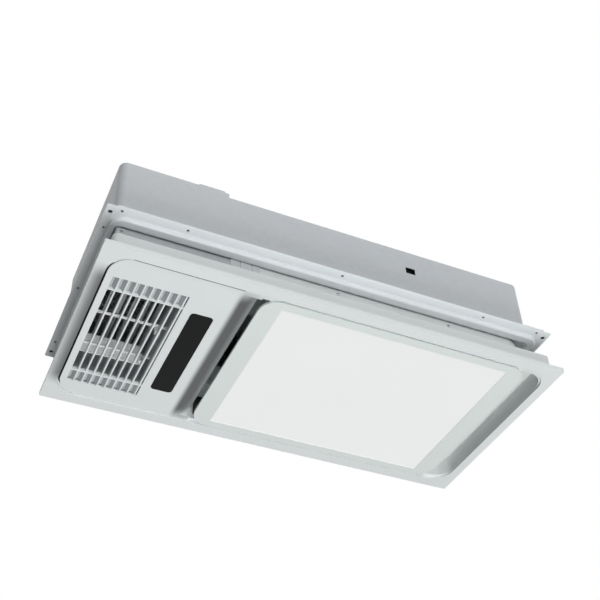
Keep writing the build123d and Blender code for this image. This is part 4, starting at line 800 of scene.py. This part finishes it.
@dataclass
class Housing(Assembly):
    """Mounting frame, housing shell and what is fixed to them."""

    wall_screw: PanHead = PanHead(2.2, 1.0)
    wall_screw_x: tuple[float, ...] = (-277.1, -1.0, 155.0)
    wall_y: float = 120.5
    wall_screw_z: float = 52.0
    cover_screw: PanHead = PanHead(3.0, 1.8)
    cover_screw_y: Span = (-107.5, -65.5)
    cover_x: float = -167.5
    cover_top: float = 181.2
    collar: Place = (-127.0, 121.0, 116.0)
    collar_screw_reach: Span = (50.0, 43.5)
    tape_x: Span = (-300.0, 294.5)
    tape_inner_x: Span = (-292.5, 286.7)
    tape_y: float = 144.5
    tape_inner_y: float = 135.5
    tape_corner: float = 3.0
    tape_inner_corner: float = 16.0
    tape_z: Span = (64.0, 65.0)
    plug_place: Place = (110.5, -111.0, 133.7)
    plug_size: Place = (34.0, 1.5, 30.0)
    plug_edge: float = 0.3
    gland_y: float = 85.0
    gland_z: float = 140.0
    nuts: tuple[Span, Span] = ((277.7, 282.7), (283.5, 288.5))
    nut_sides: int = 6
    nut_radius: float = 12.0
    nut_edge: float = 0.5
    nut_edge_steps: int = 2
    dome_end: float = 294.5
    dome_radius: float = 8.6
    # How far in from the dome's side, and down from its end, its shoulder turns.
    dome_shoulder: tuple[Span, ...] = ((2.4, 0.0), (0.9, 0.8), (0.0, 2.6))
    bore: float = 4.0
    bore_floor: float = 0.5
    bore_mouth: float = 0.6
    ribs: int = 10
    rib_size: Place = (1.2, 1.2, 3.4)
    rib_edge: float = 0.35
    rib_middle: float = 1.9
    finishes_of: ClassVar[dict[str, Finish | LitOpal]] = {
        "mounting_frame": Finishes.POWDER,
        "housing_shell": Finishes.SHEET,
        "junction_cover": Finishes.SHEET,
        "baffle_plate": Finishes.SHEET,
        "fan_deck": Finishes.SHEET,
        "terminal_block": Finishes.INNER_ABS,
        "run_capacitor": Finishes.BLACK_ABS,
        "control_box": Finishes.INNER_ABS,
        "control_lid": Finishes.INNER_ABS,
        "control_board": Finishes.BOARD,
        "board_parts": Finishes.BLACK_ABS,
    }

    def build(self) -> None:
        """Adds the screws, the flange's tape, the slot's plug and the gland."""
        self.screws()
        self.tape()
        # The slot's plug: a black rubber plate behind the wire slot, whose black also stands in for
        # the shade inside the housing, partly painted shade.
        plug = Moulding("slot_plug_and_shade")
        plug.take(brick(self.plug_size, self.plug_edge), self.plug_place)
        plug.finish(self.finishes.get(Finishes.RUBBER), "unit", "rubber")
        self.gland()

    def screws(self) -> None:
        """Adds cross-head screws on the walls, the collar and the junction cover."""
        zinc = self.finishes.get(Finishes.ZINC)
        walls = Moulding("wall_screw_heads")
        for x in self.wall_screw_x:
            for side in (-1, 1):
                place = (x, side * self.wall_y, self.wall_screw_z)
                walls.take(self.wall_screw.build(), place, (0, side, 0))
        walls.finish(zinc, "unit", "zinc", "wall_screws")
        heads = Moulding("housing_screw_heads")
        x, y, z = self.collar
        reach_x, reach_z = self.collar_screw_reach
        for across in (-reach_x, reach_x):
            for up in (-reach_z, reach_z):
                heads.take(self.cover_screw.build(), (x + across, y, z + up), (0, 1, 0))
        for y in self.cover_screw_y:
            heads.take(self.cover_screw.build(), (self.cover_x, y, self.cover_top))
        heads.finish(zinc, "unit", "zinc", "housing_screws")

    def tape(self) -> None:
        """Lays foam tape all round on the flange's upper face."""
        shape = bmesh.new()
        low, high = self.tape_z
        outer = rounded(shape, self.tape_x, (-self.tape_y, self.tape_y), self.tape_corner, low)
        inner = rounded(
            shape, self.tape_inner_x, (-self.tape_inner_y, self.tape_inner_y),
            self.tape_inner_corner, low,
        )
        ring = bmesh.ops.bridge_loops(shape, edges=outer + inner)["faces"]
        raised = bmesh.ops.extrude_face_region(shape, geom=ring, use_keep_orig=True)["geom"]
        points = [item for item in raised if isinstance(item, bmesh.types.BMVert)]
        bmesh.ops.translate(shape, verts=points, vec=(0.0, 0.0, high - low))
        bmesh.ops.recalc_face_normals(shape, faces=shape.faces)
        tape = Moulding("flange_tape")
        tape.take(shape, (0.0, 0.0, 0.0))
        tape.finish(self.finishes.get(Finishes.FOAM), "unit", "foam")

    def gland(self) -> None:
        """Adds the cable gland: two hexagon nuts and a ribbed, bored dome."""
        gland = Moulding("gland_body")
        for start, end in self.nuts:
            nut = bmesh.new()
            bmesh.ops.create_cone(
                nut, cap_ends=True, segments=self.nut_sides, radius1=self.nut_radius,
                radius2=self.nut_radius, depth=end - start,
            )
            round_edges(nut, self.nut_edge, self.nut_edge_steps)
            gland.take(nut, ((start + end) / 2, self.gland_y, self.gland_z), (1, 0, 0))
        seat = self.nuts[1][1]
        gland.take(self.dome(self.dome_end - seat), (seat, self.gland_y, self.gland_z), (1, 0, 0))
        for rib in range(self.ribs):
            turn = rib * 2 * pi / self.ribs
            y = self.gland_y + self.dome_radius * cos(turn)
            z = self.gland_z + self.dome_radius * sin(turn)
            place = (seat + self.rib_middle, y, z)
            gland.take(brick(self.rib_size, self.rib_edge), place, (1, 0, 0))
        black = self.finishes.get(Finishes.BLACK_ABS)
        gland.finish(black, "unit", "black_plastic", "cable_gland")

    def dome(self, length: float) -> bmesh.types.BMesh:
        """Turns the gland's bored dome.

        Args:
            length: From its seat to its end.

        Returns:
            The dome, along +Z.
        """
        shoulder = [
            (self.dome_radius - inward, length - down) for inward, down in self.dome_shoulder
        ]
        bore = [
            (0.0, self.bore_floor), (self.bore, self.bore_floor),
            (self.bore, length - self.bore_mouth), (self.bore + self.bore_mouth, length),
        ]
        return turned(bore + shoulder + [(self.dome_radius, 0.0)])


@dataclass
class Fan(Assembly):
    """Scroll, impeller and motor."""

    centre: Span = (-30.0, 32.0)
    screw: PanHead = PanHead(3.0, 1.8)
    screws: int = 3
    screw_circle: float = 43.0
    screw_seat: float = 141.5
    finishes_of: ClassVar[dict[str, Finish | LitOpal]] = {
        "volute_casing": Finishes.SHEET,
        "impeller": Finishes.GREY_PP,
        "impeller_nut": Finishes.ZINC,
        "motor_shaft": Finishes.ZINC,
        "motor_rotor": Finishes.LAMINATIONS,
        "motor_can": Finishes.ZINC,
        "motor_end_plate": Finishes.ZINC,
        "motor_bearings": Finishes.BRONZE,
        "stator_core": Finishes.LAMINATIONS,
        "stator_windings": Finishes.COPPER,
        "motor_mounts": Finishes.RUBBER,
    }

    def build(self) -> None:
        """Adds the cross-head screws that hold the motor."""
        heads = Moulding("motor_screw_heads")
        for screw in range(self.screws):
            turn = pi / 2 + screw * 2 * pi / self.screws
            x = self.centre[0] + self.screw_circle * cos(turn)
            y = self.centre[1] + self.screw_circle * sin(turn)
            heads.take(self.screw.build(), (x, y, self.screw_seat))
        heads.finish(self.finishes.get(Finishes.ZINC), "unit", "zinc", "motor_screws")


@dataclass
class Exhaust(Assembly):
    """Changeover flap, collar and damper."""

    bead_place: Place = (-127.0, 143.0, 116.0)
    bead_radius: float = 49.0
    bead_height: float = 0.8
    bead_sunk: float = 0.2
    bead_width: float = 3.0
    bead_arc: int = 8
    bead_sides: int = 64
    finishes_of: ClassVar[dict[str, Finish | LitOpal]] = {
        "changeover_flap": Finishes.GREY_PP,
        "flap_seals": Finishes.FOAM,
        "flap_bushes": Finishes.INNER_ABS,
        "changeover_motor": Finishes.ZINC,
        "exhaust_collar": Finishes.GREY_PP,
        "damper_pin": Finishes.ZINC,
        "damper_flap": Finishes.GREY_PP,
    }

    def build(self) -> None:
        """Adds the low bead that holds a duct on the spigot."""
        half, height = self.bead_width / 2, self.bead_height + self.bead_sunk
        radius = self.bead_radius - self.bead_sunk
        turns = [step * pi / self.bead_arc for step in range(1, self.bead_arc)]
        arc = [(radius + height * sin(turn), -half * cos(turn)) for turn in turns]
        bead = Moulding("spigot_bead")
        profile = [(radius, -half), *arc, (radius, half), (radius, -half)]
        bead.take(turned(profile, self.bead_sides), self.bead_place, (0, 1, 0))
        bead.finish(self.finishes.get(Finishes.GREY_PP), "unit", "grey_plastic")


@dataclass(frozen=True)
class Lamp:
    """A soft square studio lamp, with its place, aim and size in metres and its power in watts."""

    title: str
    place: Place
    aim: Place
    size: float
    power: float

    def build(self) -> None:
        """Adds the lamp to the scene."""
        data = bpy.data.lights.new(self.title, "AREA")
        data.shape = "SQUARE"
        data.size = self.size
        data.energy = self.power
        lamp = bpy.data.objects.new(self.title, data)
        bpy.context.scene.collection.objects.link(lamp)
        lamp.location = self.place
        beam = Vector(self.aim) - Vector(self.place)
        lamp.rotation_euler = beam.to_track_quat("-Z", "Y").to_euler()


@dataclass(frozen=True)
class Studio:
    """Pale floor, white surroundings, soft lamps and the camera, in metres.

    Fill is the surroundings' level on the heater, and floor lift is how much paler the camera
    sees the floor than it is lit. Right, above and ahead are the camera's directions.
    """

    floor_level: float = -3.4
    floor_size: float = 16.0
    floor_lift: float = 0.55
    fill: float = 0.20
    place: Place = (-0.44640, -0.93463, -0.79124)
    right: Place = (0.91770, -0.39705, -0.01345)
    above: Place = (-0.25723, -0.61965, 0.74153)
    ahead: Place = (0.30275, 0.67705, 0.67078)
    lens: float = 61.16
    sensor: float = 36.0
    clip: Span = (0.01, 50.0)
    shift: Span = (0.0373, -0.001)
    # Plaster: matt and nearly even.
    plaster: Finish = Finish(
        "pale floor", "#F2F2F0", 0.8, Texture.MOULDED, grain=4.0, relief=0.02, mottle=0.01
    )
    lamps: tuple[Lamp, ...] = (
        Lamp("key lamp", (0.0, -0.95, -2.60), (0.0, 0.0, 0.03), 1.3, 47.0),
        Lamp("front lamp", (0.15, -2.70, -0.55), (0.0, 0.0, 0.05), 1.2, 29.0),
        Lamp("top lamp", (0.0, -0.80, 2.60), (0.0, 0.0, 0.1), 1.4, 11.0),
    )

    def camera(self) -> None:
        """Adds the camera at the photograph's place."""
        data = bpy.data.cameras.new("camera")
        data.lens = self.lens
        data.sensor_width = self.sensor
        data.shift_x, data.shift_y = self.shift
        data.clip_start, data.clip_end = self.clip
        camera = bpy.data.objects.new("camera", data)
        bpy.context.scene.collection.objects.link(camera)
        back = tuple(-c for c in self.ahead)
        turn = Matrix((self.right, self.above, back)).transposed().to_4x4()
        camera.matrix_world = Matrix.Translation(self.place) @ turn
        bpy.context.scene.camera = camera

    def world(self) -> None:
        """Adds even surroundings that the camera and gloss see as white."""
        world = bpy.data.worlds.new("surroundings")
        world.use_nodes = True
        bpy.context.scene.world = world
        tree = world.node_tree
        path = add_node(tree, "ShaderNodeLightPath", {}, {})
        seen = path.outputs["Is Camera Ray"]
        for ray in ("Is Transmission Ray", "Is Glossy Ray"):
            seen = add_node(
                tree, "ShaderNodeMath", {"operation": "MAXIMUM"}, {0: seen, 1: path.outputs[ray]}
            ).outputs[0]
        level = add_node(
            tree, "ShaderNodeMapRange", {}, {"Value": seen, "To Min": self.fill, "To Max": 1.0}
        )
        backdrop = tree.nodes["Background"]
        backdrop.inputs["Color"].default_value = WHITE
        tree.links.new(level.outputs[0], backdrop.inputs["Strength"])

    def floor(self) -> None:
        """Adds the floor well under the heater and the camera."""
        mesh = bpy.data.meshes.new("floor")
        shape = bmesh.new()
        bmesh.ops.create_grid(shape, x_segments=1, y_segments=1, size=self.floor_size / 2)
        bmesh.ops.translate(shape, verts=shape.verts, vec=(0.0, 0.0, self.floor_level))
        shape.to_mesh(mesh)
        shape.free()
        floor = bpy.data.objects.new("floor", mesh)
        bpy.context.scene.collection.objects.link(floor)
        mesh.materials.append(self.plaster.material())
        self.lift(mesh.materials[0])

    def lift(self, plaster: bpy.types.Material) -> None:
        """Lets the camera see the floor paler than it is lit, with the shadow kept.

        Args:
            plaster: The floor's material.
        """
        tree = plaster.node_tree
        shader = tree.nodes["Principled BSDF"]
        path = add_node(tree, "ShaderNodeLightPath", {}, {})
        level = add_node(
            tree, "ShaderNodeMath", {"operation": "MULTIPLY"},
            {0: path.outputs["Is Camera Ray"], 1: self.floor_lift},
        )
        shader.inputs["Emission Color"].default_value = WHITE
        tree.links.new(level.outputs[0], shader.inputs["Emission Strength"])

    def build(self) -> None:
        """Adds everything round the heater."""
        bpy.context.scene.view_settings.view_transform = "Standard"
        self.camera()
        self.world()
        self.floor()
        for lamp in self.lamps:
            lamp.build()
            LOG.info("added %s", lamp.title)


def main() -> None:
    """Builds the scene in order."""
    logging.basicConfig(level=logging.INFO, format="%(message)s")
    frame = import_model()
    Studio().build()
    finishes = Finishes()
    for assembly in (FacePanel, Light, AirWays, Housing, Fan, Exhaust):
        group = assembly(frame["nodes"], finishes)
        group.dress()
        group.build()


if __name__ == "__main__":
    main()
